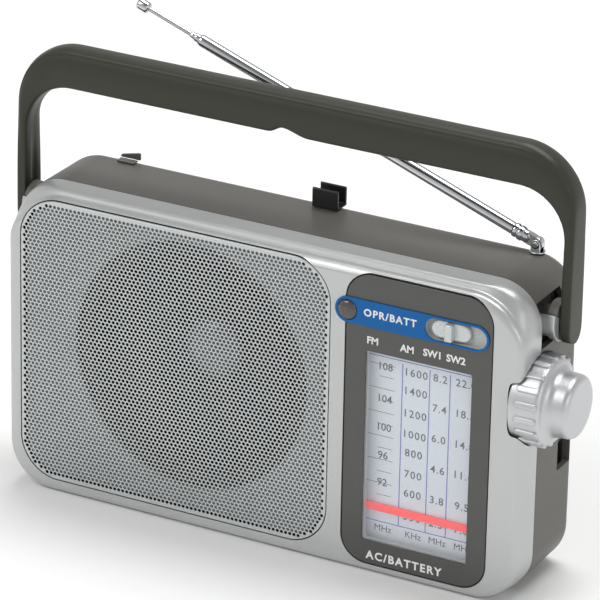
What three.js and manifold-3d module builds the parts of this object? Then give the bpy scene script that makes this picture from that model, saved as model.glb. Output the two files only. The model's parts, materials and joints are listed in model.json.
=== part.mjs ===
// Portable four-band shortwave receiver.
// Millimetres, +Z up. The origin is the centre of the flat underside, the dial side faces -Y and the
// tuning knob is on +X.
import * as THREE from "three";
import { mergeVertices } from "three/addons/utils/BufferGeometryUtils.js";
import Module from "manifold-3d";

const wasm = await Module();
wasm.setup();

// ---- driving dimensions ----
const WIDTH = 230; // cabinet, side to side
const HEIGHT = 131; // cabinet, underside to top
const DEPTH = 50; // cabinet, front to back
const CORNER = 18; // corner radius of the cabinet outline
const WALL = 2.4; // cabinet side walls
const GAP = 0.3; // between pieces that meet
const FRONT = -DEPTH / 2; // plane of the front face
const BACK = DEPTH / 2; // plane of the back face
const PARTING = -10; // plane where the two cabinet halves meet
const SIDE = WIDTH / 2;
const BAFFLE_BACK = FRONT + 2.8; // inner side of the front wall
const REAR_INSIDE = BACK - WALL; // inner side of the back wall

const INLAY = 1.1; // thickness of the grille and the bezel
const RECESS = 1.4; // depth of the pockets they lie in
const GRILLE = { x: -38.5, z: 67.3, w: 142, h: 122.5, r: 17 };
const BEZEL = { x: 70.05, z: 65.5, w: 62.9, h: 122.6, r: 11 };
const WINDOW = { x: 70.35, z: 54.5, w: 45.9, h: 81, r: 0.8 };
const SCALE_PLATE = { x: 69.2, z: 54.5, w: 48, h: 90, front: FRONT + 5.7, thick: 0.8 };

const SPEAKER = { x: -31, z: 70, opening: 52.5, rim: 55 };
const STRIP_Z = 110.7; // centre line of the coloured strip
const STRIP_H = 10.8;
const LAMP_X = 39.3;
const LAMP_R = 4.1;
const SLOT = { x: 86, w: 26.5, h: 9.1 }; // opening of the band switch
const SLIDER = { x: 83.4, w: 16.9, h: 7.2 };

const KNOB = { y: -10, z: 84.5, ring: 17.5, grip: 13, tip: 132.6, floor: 108.5 };
const SHAFT_R = 3.5; // the part of the tuning shaft that the dial cord runs on
const CORD_X = 97; // plane of the dial cord
const CORD_R = 0.5;
const DRUM = { y: 1, z: 104, r: 15.8 };
const PULLEY = { y: -12.3, z: 20, r: 2.6 };
const POINTER_Z = 27.1;

const WHEEL = { x: 98.5, z: 65, r: 17, front: 10, back: 19.5 };
const PIVOT = { y: 1.5, z: 114.5, boss: 9, pin: 3 }; // handle pivots
const HANDLE = { outer: 123.4, thick: 4.3, top: 183.4, bar: 17.2, low: 104.6, y: 2.6, width: 12.6 };

const CLIP = { x0: 1.2, x1: 12.6 };
const ANTENNA = { x: 98, y: 19.5, z: 134.9, angle: 20 }; // elbow centre, and the angle above horizontal
const TRAY = { left: -103.5, right: 101.5, low: 6.8, high: 33.8, front: -4.2, wall: 1.6 };
const TRAY_BACK = REAR_INSIDE - 2.8;
const BOARD = { left: 22, right: 100, low: 37, high: 116, front: 18.2, thick: 1.6 };
const SCREWS = [
  [-100, 118],
  [66, 122],
  [-106, 42],
  [106, 42],
];
const INLET = { x: -94, z: 52, w: 19, h: 11, depth: 14 };
const JACK = { x: -94, z: 68, r: 1.8 };

// ---- materials ----
const paint = (color, roughness, metalness = 0) =>
  new THREE.MeshStandardMaterial({ color, roughness, metalness });
const SILVER = paint(0xb2b7b6, 0.38, 0.45);
const DARK = paint(0x5a5954, 0.6);
const HANDLE_GREY = paint(0x484942, 0.55);
const GLOSSY_GREY = paint(0x5a5a56, 0.25);
const MESH_STEEL = paint(0xa9adae, 0.42, 0.8);
const CLEAR = new THREE.MeshStandardMaterial({ color: 0xdfe6ee, roughness: 0.08, opacity: 0.35 });
CLEAR.transparent = true;
const SCALE_WHITE = paint(0xc9d3dc, 0.6);
const RED = paint(0xd0302a, 0.4);
const BLUE = paint(0x005aaa, 0.4);
const LAMP_SMOKE = paint(0x5b5552, 0.2);
const LAMP_RED = paint(0xa01c18, 0.3);
const BLACK = paint(0x141414, 0.55);
const STEEL = paint(0x9da1a4, 0.35, 0.9);
const CHROME = paint(0xc4c7ca, 0.14, 1);
const PAPER = paint(0x26262a, 0.9);
const FERRITE = paint(0x2e2e30, 0.7);
const BRASS = paint(0xb3924a, 0.35, 0.9);
const COPPER = paint(0xa3582c, 0.45, 0.8);
const BOARD_TAN = paint(0x9a7b45, 0.7);
const WHITE_PLASTIC = paint(0xd8d6cd, 0.5);
const CORD_GREEN = paint(0x5d6b4c, 0.8);

// ---- solids ----
const X = new THREE.Vector3(1, 0, 0);
const Y = new THREE.Vector3(0, 1, 0);
const Z = new THREE.Vector3(0, 0, 1);

function solid(geometry) {
  const bare = geometry.clone();
  bare.deleteAttribute("normal");
  bare.deleteAttribute("uv");
  const merged = mergeVertices(bare, 1e-4);
  const vertProperties = merged.attributes.position.array;
  const triVerts = new Uint32Array(merged.index.array);
  return new wasm.Manifold(new wasm.Mesh({ numProp: 3, vertProperties, triVerts }));
}

const join = (...solids) => solids.reduce((a, b) => a.add(b));
const cut = (body, ...tools) => tools.reduce((a, b) => a.subtract(b), body);

const root = new THREE.Group();

// Adds one named mesh made of a manifold solid.
function place(name, material, body) {
  const { vertProperties, triVerts } = body.getMesh();
  const geometry = new THREE.BufferGeometry();
  geometry.setAttribute("position", new THREE.BufferAttribute(vertProperties, 3));
  geometry.setIndex(new THREE.BufferAttribute(triVerts, 1));
  geometry.computeVertexNormals();
  const mesh = new THREE.Mesh(geometry, material);
  mesh.name = name;
  root.add(mesh);
}

function box(x0, x1, y0, y1, z0, z1) {
  const geometry = new THREE.BoxGeometry(x1 - x0, y1 - y0, z1 - z0);
  return solid(geometry.translate((x0 + x1) / 2, (y0 + y1) / 2, (z0 + z1) / 2));
}

// A cylinder, or a cone when the second radius differs, from one point to another.
function rod(from, to, r0, r1 = r0, sides = 16) {
  const a = new THREE.Vector3(...from);
  const b = new THREE.Vector3(...to);
  const along = b.clone().sub(a);
  const geometry = new THREE.CylinderGeometry(r1, r0, along.length(), sides);
  const turn = new THREE.Quaternion().setFromUnitVectors(Y, along.clone().normalize());
  const middle = a.add(b).multiplyScalar(0.5);
  return solid(geometry.applyQuaternion(turn).translate(middle.x, middle.y, middle.z));
}

const rodX = (r, x0, x1, y, z, sides) => rod([x0, y, z], [x1, y, z], r, r, sides);
const rodY = (r, y0, y1, x, z, sides) => rod([x, y0, z], [x, y1, z], r, r, sides);
const rodZ = (r, z0, z1, x, y, sides) => rod([x, y, z0], [x, y, z1], r, r, sides);

// Outline of a rectangle with round corners.
function roundedRect({ x = 0, z = 0, w, h, r }) {
  const shape = new THREE.Shape();
  const dx = w / 2 - r;
  const dz = h / 2 - r;
  shape.absarc(x + dx, z + dz, r, 0, Math.PI / 2);
  shape.absarc(x - dx, z + dz, r, Math.PI / 2, Math.PI);
  shape.absarc(x - dx, z - dz, r, Math.PI, 1.5 * Math.PI);
  shape.absarc(x + dx, z - dz, r, 1.5 * Math.PI, 2 * Math.PI);
  return shape;
}

// An outline in X and Z, made solid from y0 to y1.
function plate(shape, y0, y1, curveSegments = 3) {
  const geometry = new THREE.ExtrudeGeometry(shape, {
    depth: y1 - y0,
    bevelEnabled: false,
    curveSegments,
  });
  return solid(geometry.rotateX(Math.PI / 2).translate(0, y1, 0));
}

// An outline in Y and Z, made solid from x0 to x1.
function slab(shape, x0, x1, curveSegments = 3) {
  const geometry = new THREE.ExtrudeGeometry(shape, {
    depth: x1 - x0,
    bevelEnabled: false,
    curveSegments,
  });
  const turn = new THREE.Matrix4().makeBasis(Y, Z, X);
  return solid(geometry.applyMatrix4(turn).translate(x0, 0, 0));
}

// A closed profile of [radius, y] points turned about a line along Y.
function turned(points, x, z, sides = 24) {
  const profile = points.map(([r, y]) => new THREE.Vector2(r, y));
  if (THREE.ShapeUtils.area(profile) < 0) profile.reverse();
  if (profile[0].distanceTo(profile.at(-1)) > 1e-6 && (profile[0].x > 0 || profile.at(-1).x > 0)) {
    profile.push(profile[0].clone());
  }
  return solid(new THREE.LatheGeometry(profile, sides).translate(x, 0, z));
}

// The cabinet outline swept along Y: each ring is [y, how far it is drawn in].
function shell(rings) {
  const outlines = rings.map(([y, inset]) => {
    const size = { w: WIDTH - 2 * inset, h: HEIGHT - 2 * inset, r: CORNER - inset };
    return roundedRect(size)
      .getPoints(3)
      .map((p) => [p.x, y, p.y + HEIGHT / 2]);
  });
  const count = outlines[0].length;
  const index = [];
  for (let j = 1; j < count - 1; j++) {
    const last = (rings.length - 1) * count;
    index.push(0, j, j + 1, last, last + j + 1, last + j);
  }
  for (let i = 0; i < rings.length - 1; i++) {
    for (let j = 0; j < count; j++) {
      const k = (j + 1) % count;
      const a = i * count;
      const b = a + count;
      index.push(a + j, b + j, b + k, a + j, b + k, a + k);
    }
  }
  const geometry = new THREE.BufferGeometry();
  const position = new THREE.Float32BufferAttribute(outlines.flat(2), 3);
  geometry.setAttribute("position", position);
  geometry.setIndex(index);
  return solid(geometry);
}

// ---- openings that several pieces share ----
const slotHole = (extra = 0) =>
  plate(
    roundedRect({
      x: SLOT.x,
      z: STRIP_Z,
      w: SLOT.w + extra,
      h: SLOT.h + extra,
      r: (SLOT.h + extra) / 2 - 0.01,
    }),
    FRONT - 2,
    BAFFLE_BACK + 1,
  );
const lampHole = () => rodY(LAMP_R + 0.25, FRONT - 2, BAFFLE_BACK + 1, LAMP_X, STRIP_Z);
const windowHole = (shrink = 0) =>
  plate(
    roundedRect({ ...WINDOW, w: WINDOW.w - shrink, h: WINDOW.h - shrink }),
    FRONT - 1,
    BAFFLE_BACK + 1,
    1,
  );

const frontHalf = () => box(-200, 200, -60, PARTING - GAP / 2, -20, 220);
const rearHalf = () => box(-200, 200, PARTING + GAP / 2, 80, -20, 220);

// The cup in the side wall that the tuning knob turns in.
const knobCup = () => rodX(KNOB.ring + 1.8, KNOB.floor - 1.4, SIDE - 0.2, KNOB.y, KNOB.z, 24);
const knobCavity = () =>
  join(
    rodX(KNOB.ring + 0.8, KNOB.floor, SIDE + 5, KNOB.y, KNOB.z, 24),
    rodX(5.3, KNOB.floor - 4, SIDE, KNOB.y, KNOB.z),
  );

// ---- handle pivots, one on each side ----
// The boss is split by a plane through its axis, and each cabinet half carries one part of it.
const BOSS_TILT = Math.PI / 7;
const bossHalf = (side, lower) => {
  const inner = lower ? SIDE - 6.2 : SIDE - 6.8;
  const outer = HANDLE.outer - HANDLE.thick - GAP;
  const ends = [side * inner, side * outer].sort((a, b) => a - b);
  const boss = rodX(PIVOT.boss, ends[0], ends[1], PIVOT.y, PIVOT.z);
  const bore = rodX(PIVOT.pin + 0.3, ends[0] - 3, ends[1] + 1, PIVOT.y, PIVOT.z);
  const keep = new THREE.BoxGeometry(300, 40, 40)
    .translate(0, 0, lower ? -20 - GAP / 2 : 20 + GAP / 2)
    .rotateX(-BOSS_TILT)
    .translate(0, PIVOT.y, PIVOT.z);
  return cut(boss, bore).intersect(solid(keep));
};
// The pocket in the rear cabinet that the boss stands in.
const pivotPocket = (side) => {
  const [x0, x1] = side > 0 ? [SIDE - 6.5, SIDE + 2] : [-SIDE - 2, -SIDE + 6.5];
  return box(x0, x1, PARTING - 1, PIVOT.y + 10.5, PIVOT.z - 9.8, PIVOT.z + 9.8);
};
// The tab of the front cabinet that reaches back to the boss.
const pivotTab = (side) => {
  const [x0, x1] = side > 0 ? [SIDE - 6.2, SIDE - 2.6] : [-SIDE + 2.6, -SIDE + 6.2];
  return box(x0, x1, PARTING - 1.5, PIVOT.y - 7, PIVOT.z - 7.2, PIVOT.z + 2.2);
};

// ---- cabinet ----
function frontCabinet() {
  const outer = shell([
    [FRONT, 2.6],
    [FRONT + 0.8, 0.9],
    [FRONT + 2.6, 0],
    [PARTING - GAP / 2, 0],
  ]);
  const hollow = shell([
    [BAFFLE_BACK, WALL],
    [PARTING, WALL],
  ]);
  let body = cut(outer, hollow);
  for (const [x, z] of SCREWS) {
    body = body.add(rodY(4.6, BAFFLE_BACK - 0.5, PARTING - GAP / 2, x, z, 16));
  }
  body = body.add(knobCup().intersect(frontHalf()).intersect(outer));
  for (const side of [-1, 1]) {
    body = join(body, pivotTab(side), bossHalf(side, true));
  }
  body = cut(
    body,
    knobCavity(),
    plate(roundedRect({ ...GRILLE, w: GRILLE.w + 0.6, h: GRILLE.h + 0.6 }), FRONT - 1, FRONT + RECESS),
    plate(roundedRect({ ...BEZEL, w: BEZEL.w + 0.6, h: BEZEL.h + 0.6 }), FRONT - 1, FRONT + RECESS),
    rodY(SPEAKER.opening, FRONT, BAFFLE_BACK + 1, SPEAKER.x, SPEAKER.z, 32),
    windowHole(2),
    slotHole(),
    lampHole(),
  );
  for (const [x, z] of SCREWS) {
    body = cut(body, rodY(1.6, BAFFLE_BACK + 1, PARTING + 1, x, z, 12));
  }
  return body;
}

function rearCabinet() {
  const outer = shell([
    [PARTING + GAP / 2, 0],
    [BACK - 4, 0],
    [BACK - 1.2, 1.2],
    [BACK, 3.5],
  ]);
  const hollow = shell([
    [PARTING, WALL],
    [REAR_INSIDE - 2.5, WALL],
    [REAR_INSIDE, WALL + 2],
  ]);
  let body = cut(outer, hollow);
  for (const [x, z] of SCREWS) {
    body = body.add(rodY(4.6, PARTING + GAP / 2, REAR_INSIDE + 1, x, z, 16));
  }
  body = body.add(knobCup().intersect(rearHalf()).intersect(outer));
  const { left, right, low, high, wall } = TRAY;
  const rim = box(left - wall, right + wall, TRAY_BACK + GAP, BACK - 2, low - wall, high + wall);
  body = body.add(rim);
  for (const side of [-1, 1]) {
    // a wall behind the pocket, the pocket itself, then the upper part of the boss
    const [x0, x1] = side > 0 ? [SIDE - 8.6, SIDE - 3] : [-SIDE + 3, -SIDE + 8.6];
    const backing = box(x0, x1, PARTING + GAP / 2, PIVOT.y + 12, PIVOT.z - 11.2, PIVOT.z + 11.2);
    const outline = shell([
      [PARTING + GAP / 2, 0.2],
      [BACK - 4, 0.2],
    ]);
    body = body.add(backing.intersect(outline));
    body = cut(body, pivotPocket(side));
    body = body.add(bossHalf(side, false));
    body = cut(body, rodX(PIVOT.pin + 0.3, x0 - 1, x1 + 1, PIVOT.y, PIVOT.z));
  }
  body = cut(
    body,
    knobCavity(),
    box(SIDE - 8, SIDE + 2, WHEEL.front - 1.2, WHEEL.back + 1.3, WHEEL.z - 19, WHEEL.z + 19),
    box(left, right, TRAY_BACK, BACK + 1, low, high),
    doorRecess(),
    box(
      INLET.x - INLET.w / 2 - 0.3,
      INLET.x + INLET.w / 2 + 0.3,
      REAR_INSIDE - 1,
      BACK + 1,
      INLET.z - INLET.h / 2 - 0.3,
      INLET.z + INLET.h / 2 + 0.3,
    ),
    rodY(4.3, REAR_INSIDE - 1, BACK + 1, JACK.x, JACK.z),
    rodZ(2.9, HEIGHT - 9, HEIGHT + 1, ANTENNA.x, ANTENNA.y, 12),
    box(CLIP.x0 + 0.7, CLIP.x1 - 0.7, ANTENNA.y - 3.3, ANTENNA.y + 1.9, HEIGHT - WALL - 1, HEIGHT + 1),
  );
  for (const [x, z] of SCREWS) {
    body = cut(body, rodY(3.5, 17, BACK + 1, x, z, 16), rodY(1.6, PARTING - 1, 18, x, z, 12));
  }
  return body;
}

// ---- battery compartment ----
const DOOR = { low: TRAY.low - 1.2, high: TRAY.high + 1.6, thick: 1.7 };
const doorOutline = (extra) =>
  roundedRect({
    x: (TRAY.left + TRAY.right) / 2,
    z: (DOOR.low + DOOR.high) / 2,
    w: TRAY.right - TRAY.left + 2.4 + extra,
    h: DOOR.high - DOOR.low + extra,
    r: 2.5,
  });

function doorRecess() {
  return plate(doorOutline(0.6), BACK - DOOR.thick - 0.2, BACK + 1, 2);
}

function batteryDoor() {
  const latch = box(-12, 10, BACK - 3.6, BACK - DOOR.thick, TRAY.high - 3.2, TRAY.high - 1.2);
  const ridges = [-2, 0, 2].map((dz) =>
    box(-8, 6, BACK - 0.2, BACK + 0.5, DOOR.high - 6 + dz - 0.4, DOOR.high - 6 + dz + 0.4),
  );
  return join(plate(doorOutline(0), BACK - DOOR.thick, BACK, 2), latch, ...ridges);
}

function batteryTray() {
  const { left, right, low, high, front, wall } = TRAY;
  const outer = box(left - wall, right + wall, front - wall, TRAY_BACK, low - wall, high + wall);
  return cut(outer, box(left, right, front, TRAY_BACK + 1, low, high));
}

function batteryContact() {
  const x = TRAY.right - GAP;
  const z = (TRAY.low + TRAY.high) / 2;
  return join(box(x - 0.5, x, 1, 18, z - 9, z + 9), rodX(3.2, x - 1.2, x - 0.3, 9.5, z, 16));
}

// A conical coil whose turns lie one inside the next, on a flat plate.
function batterySpring() {
  const x = TRAY.left + GAP;
  const z = (TRAY.low + TRAY.high) / 2;
  const turns = 2.5;
  const points = [];
  for (let i = 0; i <= turns * 12; i++) {
    const t = i / (turns * 12);
    const angle = t * turns * 2 * Math.PI;
    const r = 7.5 - 3 * t;
    points.push(new THREE.Vector3(x + 0.8 + 2.4 * t, 9.5 + r * Math.cos(angle), z + r * Math.sin(angle)));
  }
  const wire = new THREE.Shape();
  wire.absarc(0, 0, 0.45, 0, 2 * Math.PI);
  const coil = new THREE.ExtrudeGeometry(wire, {
    steps: turns * 10,
    extrudePath: new THREE.CatmullRomCurve3(points),
    curveSegments: 2,
  });
  return join(box(x, x + 0.6, 1, 18, z - 9, z + 9), solid(coil));
}

// ---- front pieces ----
function grille() {
  return plate(roundedRect(GRILLE), FRONT + RECESS - GAP - INLAY, FRONT + RECESS - GAP);
}

function bezel() {
  const body = plate(roundedRect(BEZEL), FRONT + RECESS - GAP - INLAY, FRONT + RECESS - GAP);
  return cut(body, windowHole(), slotHole(), lampHole());
}

function accentStrip() {
  const right = SLOT.x + SLOT.w / 2 + 1;
  const left = LAMP_X - STRIP_H / 2;
  const outline = roundedRect({
    x: (left + right) / 2,
    z: STRIP_Z,
    w: right - left,
    h: STRIP_H,
    r: STRIP_H / 2 - 0.01,
  });
  return cut(plate(outline, FRONT - 0.6, FRONT - 0.2), slotHole(), lampHole());
}

function lens() {
  const outline = roundedRect({ ...WINDOW, w: WINDOW.w - 0.5, h: WINDOW.h - 0.5 });
  return plate(outline, FRONT + RECESS - GAP - INLAY, FRONT + RECESS - GAP, 1);
}

function indicatorLens() {
  const front = FRONT - 2.3;
  const profile = [[0, front]];
  for (let i = 1; i <= 4; i++) {
    const angle = (i / 4) * (Math.PI / 2);
    profile.push([LAMP_R * Math.sin(angle), front + 1.7 * (1 - Math.cos(angle))]);
  }
  profile.push([LAMP_R, FRONT + 1.2], [0, FRONT + 1.2]);
  return turned(profile, LAMP_X, STRIP_Z, 24);
}

function indicatorLed() {
  return join(
    rodY(2.5, FRONT + 1.6, FRONT + 7, LAMP_X, STRIP_Z, 16),
    rodY(2.9, FRONT + 6, FRONT + 7.2, LAMP_X, STRIP_Z, 16),
  );
}

function scalePlate() {
  const { x, z, w, h, front, thick } = SCALE_PLATE;
  return box(x - w / 2, x + w / 2, front, front + thick, z - h / 2, z + h / 2);
}

function dialPointer() {
  const front = SCALE_PLATE.front - 1.3;
  const bar = box(WINDOW.x - 22.6, CORD_X + 2, front, front + 0.8, POINTER_Z - 1.7, POINTER_Z + 1.7);
  const rider = box(
    CORD_X - 2,
    CORD_X + 2,
    front,
    cordFront() - CORD_R - 0.7,
    POINTER_Z - 2.5,
    POINTER_Z + 2.5,
  );
  return join(bar, rider);
}

// ---- band switch ----
function bandSlider() {
  const { x, w, h } = SLIDER;
  const cap = roundedRect({ x, z: STRIP_Z, w, h, r: h / 2 - 0.01 });
  const face = FRONT + 0.5;
  return join(
    plate(cap, face, face + 1.4),
    box(x - 1.5, x + 1.5, FRONT - 2.4, face + 0.7, STRIP_Z - h / 2, STRIP_Z + h / 2),
    box(x - 2, x + 2, face + 0.7, BAFFLE_BACK + 2, STRIP_Z - 1.2, STRIP_Z + 1.2),
  );
}

function bandSwitch() {
  const front = BAFFLE_BACK + GAP;
  const body = box(SLOT.x - 15.5, SLOT.x + 9, front, front + 7, STRIP_Z - 5.2, STRIP_Z + 5.2);
  const right = box(SLOT.x + 8, SLOT.x + 14.5, front, front + 3, STRIP_Z - 5.2, STRIP_Z + 5.2);
  const travel = box(SLIDER.x - 4.2, SLIDER.x + 9.8, front - 1, front + 2.4, STRIP_Z - 1.8, STRIP_Z + 1.8);
  return cut(join(body, right), travel);
}

// ---- loudspeaker ----
function speakerBasket() {
  const y0 = BAFFLE_BACK + GAP;
  const profile = [
    [47, y0],
    [SPEAKER.rim, y0],
    [SPEAKER.rim, y0 + 1.4],
    [48.6, y0 + 1.4],
    [47.8, y0 + 5],
    [24.5, y0 + 23.5],
    [22.5, y0 + 26],
    [8, y0 + 26],
    [8, y0 + 24.8],
    [21.5, y0 + 24.8],
    [23.5, y0 + 22.4],
    [46.4, y0 + 4.2],
  ];
  let body = turned(profile, SPEAKER.x, SPEAKER.z, 28);
  for (let i = 0; i < 4; i++) {
    const window = new THREE.BoxGeometry(20, 8.5, 26)
      .translate(37, y0 + 13.4, 0)
      .rotateY(((i + 0.5) * Math.PI) / 2);
    body = cut(body, solid(window.translate(SPEAKER.x, 0, SPEAKER.z)));
  }
  return body;
}

function speakerCone() {
  const y0 = BAFFLE_BACK + 0.6;
  const profile = [
    [46, y0 + 0.2],
    [43.6, y0 - 0.1],
    [41.4, y0 + 1.2],
    [11.6, y0 + 19],
    [10.6, y0 + 23.6],
    [11.2, y0 + 23.6],
    [12.2, y0 + 19.6],
    [41.8, y0 + 2.2],
    [43.8, y0 + 0.9],
    [46, y0 + 0.9],
  ];
  return turned(profile, SPEAKER.x, SPEAKER.z, 28);
}

function dustCap() {
  const y0 = BAFFLE_BACK + 18.4;
  const profile = [[0, y0 - 4.6]];
  for (let i = 1; i <= 4; i++) {
    const angle = (i / 4) * (Math.PI / 2);
    profile.push([9.6 * Math.sin(angle), y0 - 4.6 * Math.cos(angle)]);
  }
  profile.push([9.6, y0 + 1], [0, y0 + 1]);
  return turned(profile, SPEAKER.x, SPEAKER.z, 20);
}

function speakerMagnet() {
  const y0 = BAFFLE_BACK + 26.6;
  return join(
    rodY(20.5, y0, y0 + 1.6, SPEAKER.x, SPEAKER.z, 20),
    rodY(22, y0 + 1.5, y0 + 10.4, SPEAKER.x, SPEAKER.z, 20),
    rodY(20.5, y0 + 10.3, y0 + 12, SPEAKER.x, SPEAKER.z, 20),
  );
}

// ---- tuning drive ----
// The dial cord runs down the front, round the pulley, past the shaft and round the drum.
const CORD_WHEELS = [
  { y: PULLEY.y, z: PULLEY.z, r: PULLEY.r + CORD_R + 0.8, turn: 1 },
  { y: KNOB.y, z: KNOB.z, r: SHAFT_R + CORD_R + 0.7, turn: -1 },
  { y: DRUM.y, z: DRUM.z, r: DRUM.r + CORD_R + 0.2, turn: 1 },
];
const cordFront = () => DRUM.y - CORD_WHEELS[2].r;

// The straight run from one wheel to the next, as its two tangent points.
function tangent(a, b) {
  const dy = b.y - a.y;
  const dz = b.z - a.z;
  const offset = b.r * b.turn - a.r * a.turn;
  const run = Math.sqrt(dy * dy + dz * dz - offset * offset);
  const angle = Math.atan2(dz, dy) - Math.atan2(offset, run);
  const normal = [-Math.sin(angle), Math.cos(angle)];
  return [a, b].map((w) => [w.y - normal[0] * w.r * w.turn, w.z - normal[1] * w.r * w.turn]);
}

function dialCord() {
  const runs = CORD_WHEELS.map((wheel, i) => tangent(wheel, CORD_WHEELS[(i + 1) % 3]));
  const points = [];
  CORD_WHEELS.forEach((wheel, i) => {
    const arrive = runs[(i + 2) % 3][1];
    const leave = runs[i][0];
    const start = Math.atan2(arrive[1] - wheel.z, arrive[0] - wheel.y);
    let sweep = Math.atan2(leave[1] - wheel.z, leave[0] - wheel.y) - start;
    if (wheel.turn > 0 && sweep < 0) sweep += 2 * Math.PI;
    if (wheel.turn < 0 && sweep > 0) sweep -= 2 * Math.PI;
    const steps = Math.max(4, Math.round(Math.abs(sweep) / 0.35));
    for (let j = 0; j <= steps; j++) {
      const angle = start + (sweep * j) / steps;
      const y = wheel.y + wheel.r * Math.cos(angle);
      const z = wheel.z + wheel.r * Math.sin(angle);
      points.push(new THREE.Vector3(CORD_X, y, z));
    }
  });
  // the knot is left open by a hair at the foot of the front run
  const knot = points[0].clone();
  knot.z += 1;
  points.push(knot);
  const section = new THREE.Shape();
  section.absarc(0, 0, CORD_R, 0, 2 * Math.PI);
  const path = new THREE.CatmullRomCurve3(points, false, "centripetal");
  return solid(
    new THREE.ExtrudeGeometry(section, { steps: 70, extrudePath: path, curveSegments: 2 }),
  );
}

// A grooved wheel on a line along X.
function groovedWheel(y, z, r, x0, x1, flange) {
  const sides = r > 10 ? 28 : 14;
  return join(
    rodX(r, x0, x1, y, z, sides),
    rodX(r + flange, x0, x0 + 0.8, y, z, sides),
    rodX(r + flange, x1 - 0.8, x1, y, z, sides),
  );
}

function tuningDrum() {
  const wheel = groovedWheel(DRUM.y, DRUM.z, DRUM.r, CORD_X - 1.9, CORD_X + 1.9, 1.1);
  const slots = [0, 1, 2].map((i) => {
    const angle = (i * 2 * Math.PI) / 3;
    const y = DRUM.y + 9 * Math.cos(angle);
    return rodX(3.6, CORD_X - 3, CORD_X + 3, y, DRUM.z + 9 * Math.sin(angle), 12);
  });
  return cut(wheel, ...slots, rodX(1.8, CORD_X - 5, CORD_X + 5, DRUM.y, DRUM.z, 12));
}

function tuningCapacitor() {
  const { y, z } = DRUM;
  return join(
    box(CORD_X - 17, CORD_X - 4.5, y - 10, y + 10, z - 10, z + 10),
    rodX(3.4, CORD_X - 4.6, CORD_X - 2.6, y, z, 12),
    rodX(1.5, CORD_X - 3, CORD_X + 2.5, y, z, 12),
    box(CORD_X - 14, CORD_X - 8, y + 9, BOARD.front - GAP, z - 6, z + 6),
  );
}

function cordPulley() {
  const wheel = groovedWheel(PULLEY.y, PULLEY.z, PULLEY.r, CORD_X - 1.5, CORD_X + 1.5, 1.2);
  return join(wheel, rodX(1.2, CORD_X - 3, CORD_X + 8, PULLEY.y, PULLEY.z, 12));
}

function tuningShaft() {
  return join(
    rodX(2.6, CORD_X - 5, KNOB.floor + 1.4, KNOB.y, KNOB.z, 14),
    rodX(SHAFT_R, CORD_X - 3, CORD_X + 3, KNOB.y, KNOB.z, 14),
    rodX(2.4, KNOB.floor, KNOB.floor + 12, KNOB.y, KNOB.z, 14),
  );
}

function shaftBushing() {
  const { y, z, floor } = KNOB;
  const sleeve = join(
    rodX(5, floor - 6.5, floor - GAP, y, z, 14),
    rodX(7, floor - 3.6, floor - 1.4 - GAP, y, z, 14),
  );
  return cut(sleeve, rodX(2.75, floor - 8, floor + 1, y, z, 14));
}

function tuningKnob() {
  const { y, z, ring, grip, tip, floor } = KNOB;
  const base = floor + 0.8;
  const step = SIDE + 7.2;
  const profile = [
    [0, base + 1],
    [ring - 0.6, base],
    [ring, base + 0.6],
    [ring, step - 1.6],
    [ring - 1, step],
    [grip + 1.6, step + 1.2],
    [grip, step + 3.2],
    [grip - 0.3, tip - 2.2],
    [grip - 1.6, tip - 0.6],
    [grip - 3.4, tip],
    [0, tip],
  ];
  const points = profile.map(([r, x]) => new THREE.Vector2(r, x));
  const body = new THREE.LatheGeometry(points, 32).rotateZ(-Math.PI / 2);
  return cut(solid(body.translate(0, y, z)), rodX(2.7, base - 1, KNOB.floor + 12.5, y, z, 14));
}

// ---- volume control ----
function volumeWheel() {
  const { x, z, r, front, back } = WHEEL;
  const teeth = 30;
  const rim = new THREE.Shape();
  for (let i = 0; i < teeth * 2; i++) {
    const angle = (i * Math.PI) / teeth;
    const radius = i % 2 ? r - 0.7 : r;
    const point = [x + radius * Math.cos(angle), z + radius * Math.sin(angle)];
    if (i === 0) rim.moveTo(...point);
    else rim.lineTo(...point);
  }
  return cut(plate(rim, front, back), rodY(3.1, front - 1, front + 6, x, z, 16));
}

function volumePot() {
  const { x, z, front } = WHEEL;
  return join(
    box(x - 7, x + 7, front - 9, front - 1, z - 7, z + 7),
    rodY(2.8, front - 1.2, front + 5, x, z, 16),
    box(x - 18, x - 6.9, front - 9, front - 7.6, z - 7, z + 7),
    box(x - 20.5, x - 17.4, front - 9, BOARD.front - GAP, z - 7, z + 7),
  );
}

// ---- electronics ----
function mainBoard() {
  const { left, right, low, high, front, thick } = BOARD;
  const board = box(left, right, front, front + thick, low, high);
  const notch = box(WHEEL.x - WHEEL.r - 1.5, right + 1, front - 1, front + thick + 1, 46, 84);
  return cut(board, notch, rodY(5.2, front - 1, front + thick + 1, ...SCREWS[3]));
}

const canPositions = [
  [34, 50],
  [48, 50],
  [62, 50],
];
const ifCan = (x, z) => {
  const back = BOARD.front - GAP;
  return join(
    box(x - 4.5, x + 4.5, back - 12, back, z - 4.5, z + 4.5),
    rodY(2, back - 12.4, back - 11.9, x, z, 12),
  );
};

const electrolytic = (x, z, r, length) => {
  const back = BOARD.front - GAP;
  return join(rodY(r, back - length, back, x, z, 20), rodY(r - 1, back - length - 0.4, back - 1, x, z, 20));
};

function audioChip() {
  const back = BOARD.front - GAP;
  const body = box(48, 68, back - 3.6, back - 0.8, 76, 83);
  const legs = [];
  for (let i = 0; i < 8; i++) {
    const x = 49.1 + i * 2.54;
    legs.push(box(x - 0.4, x + 0.4, back - 2.2, back, 74.6, 84.4));
  }
  return join(body, ...legs);
}

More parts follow.
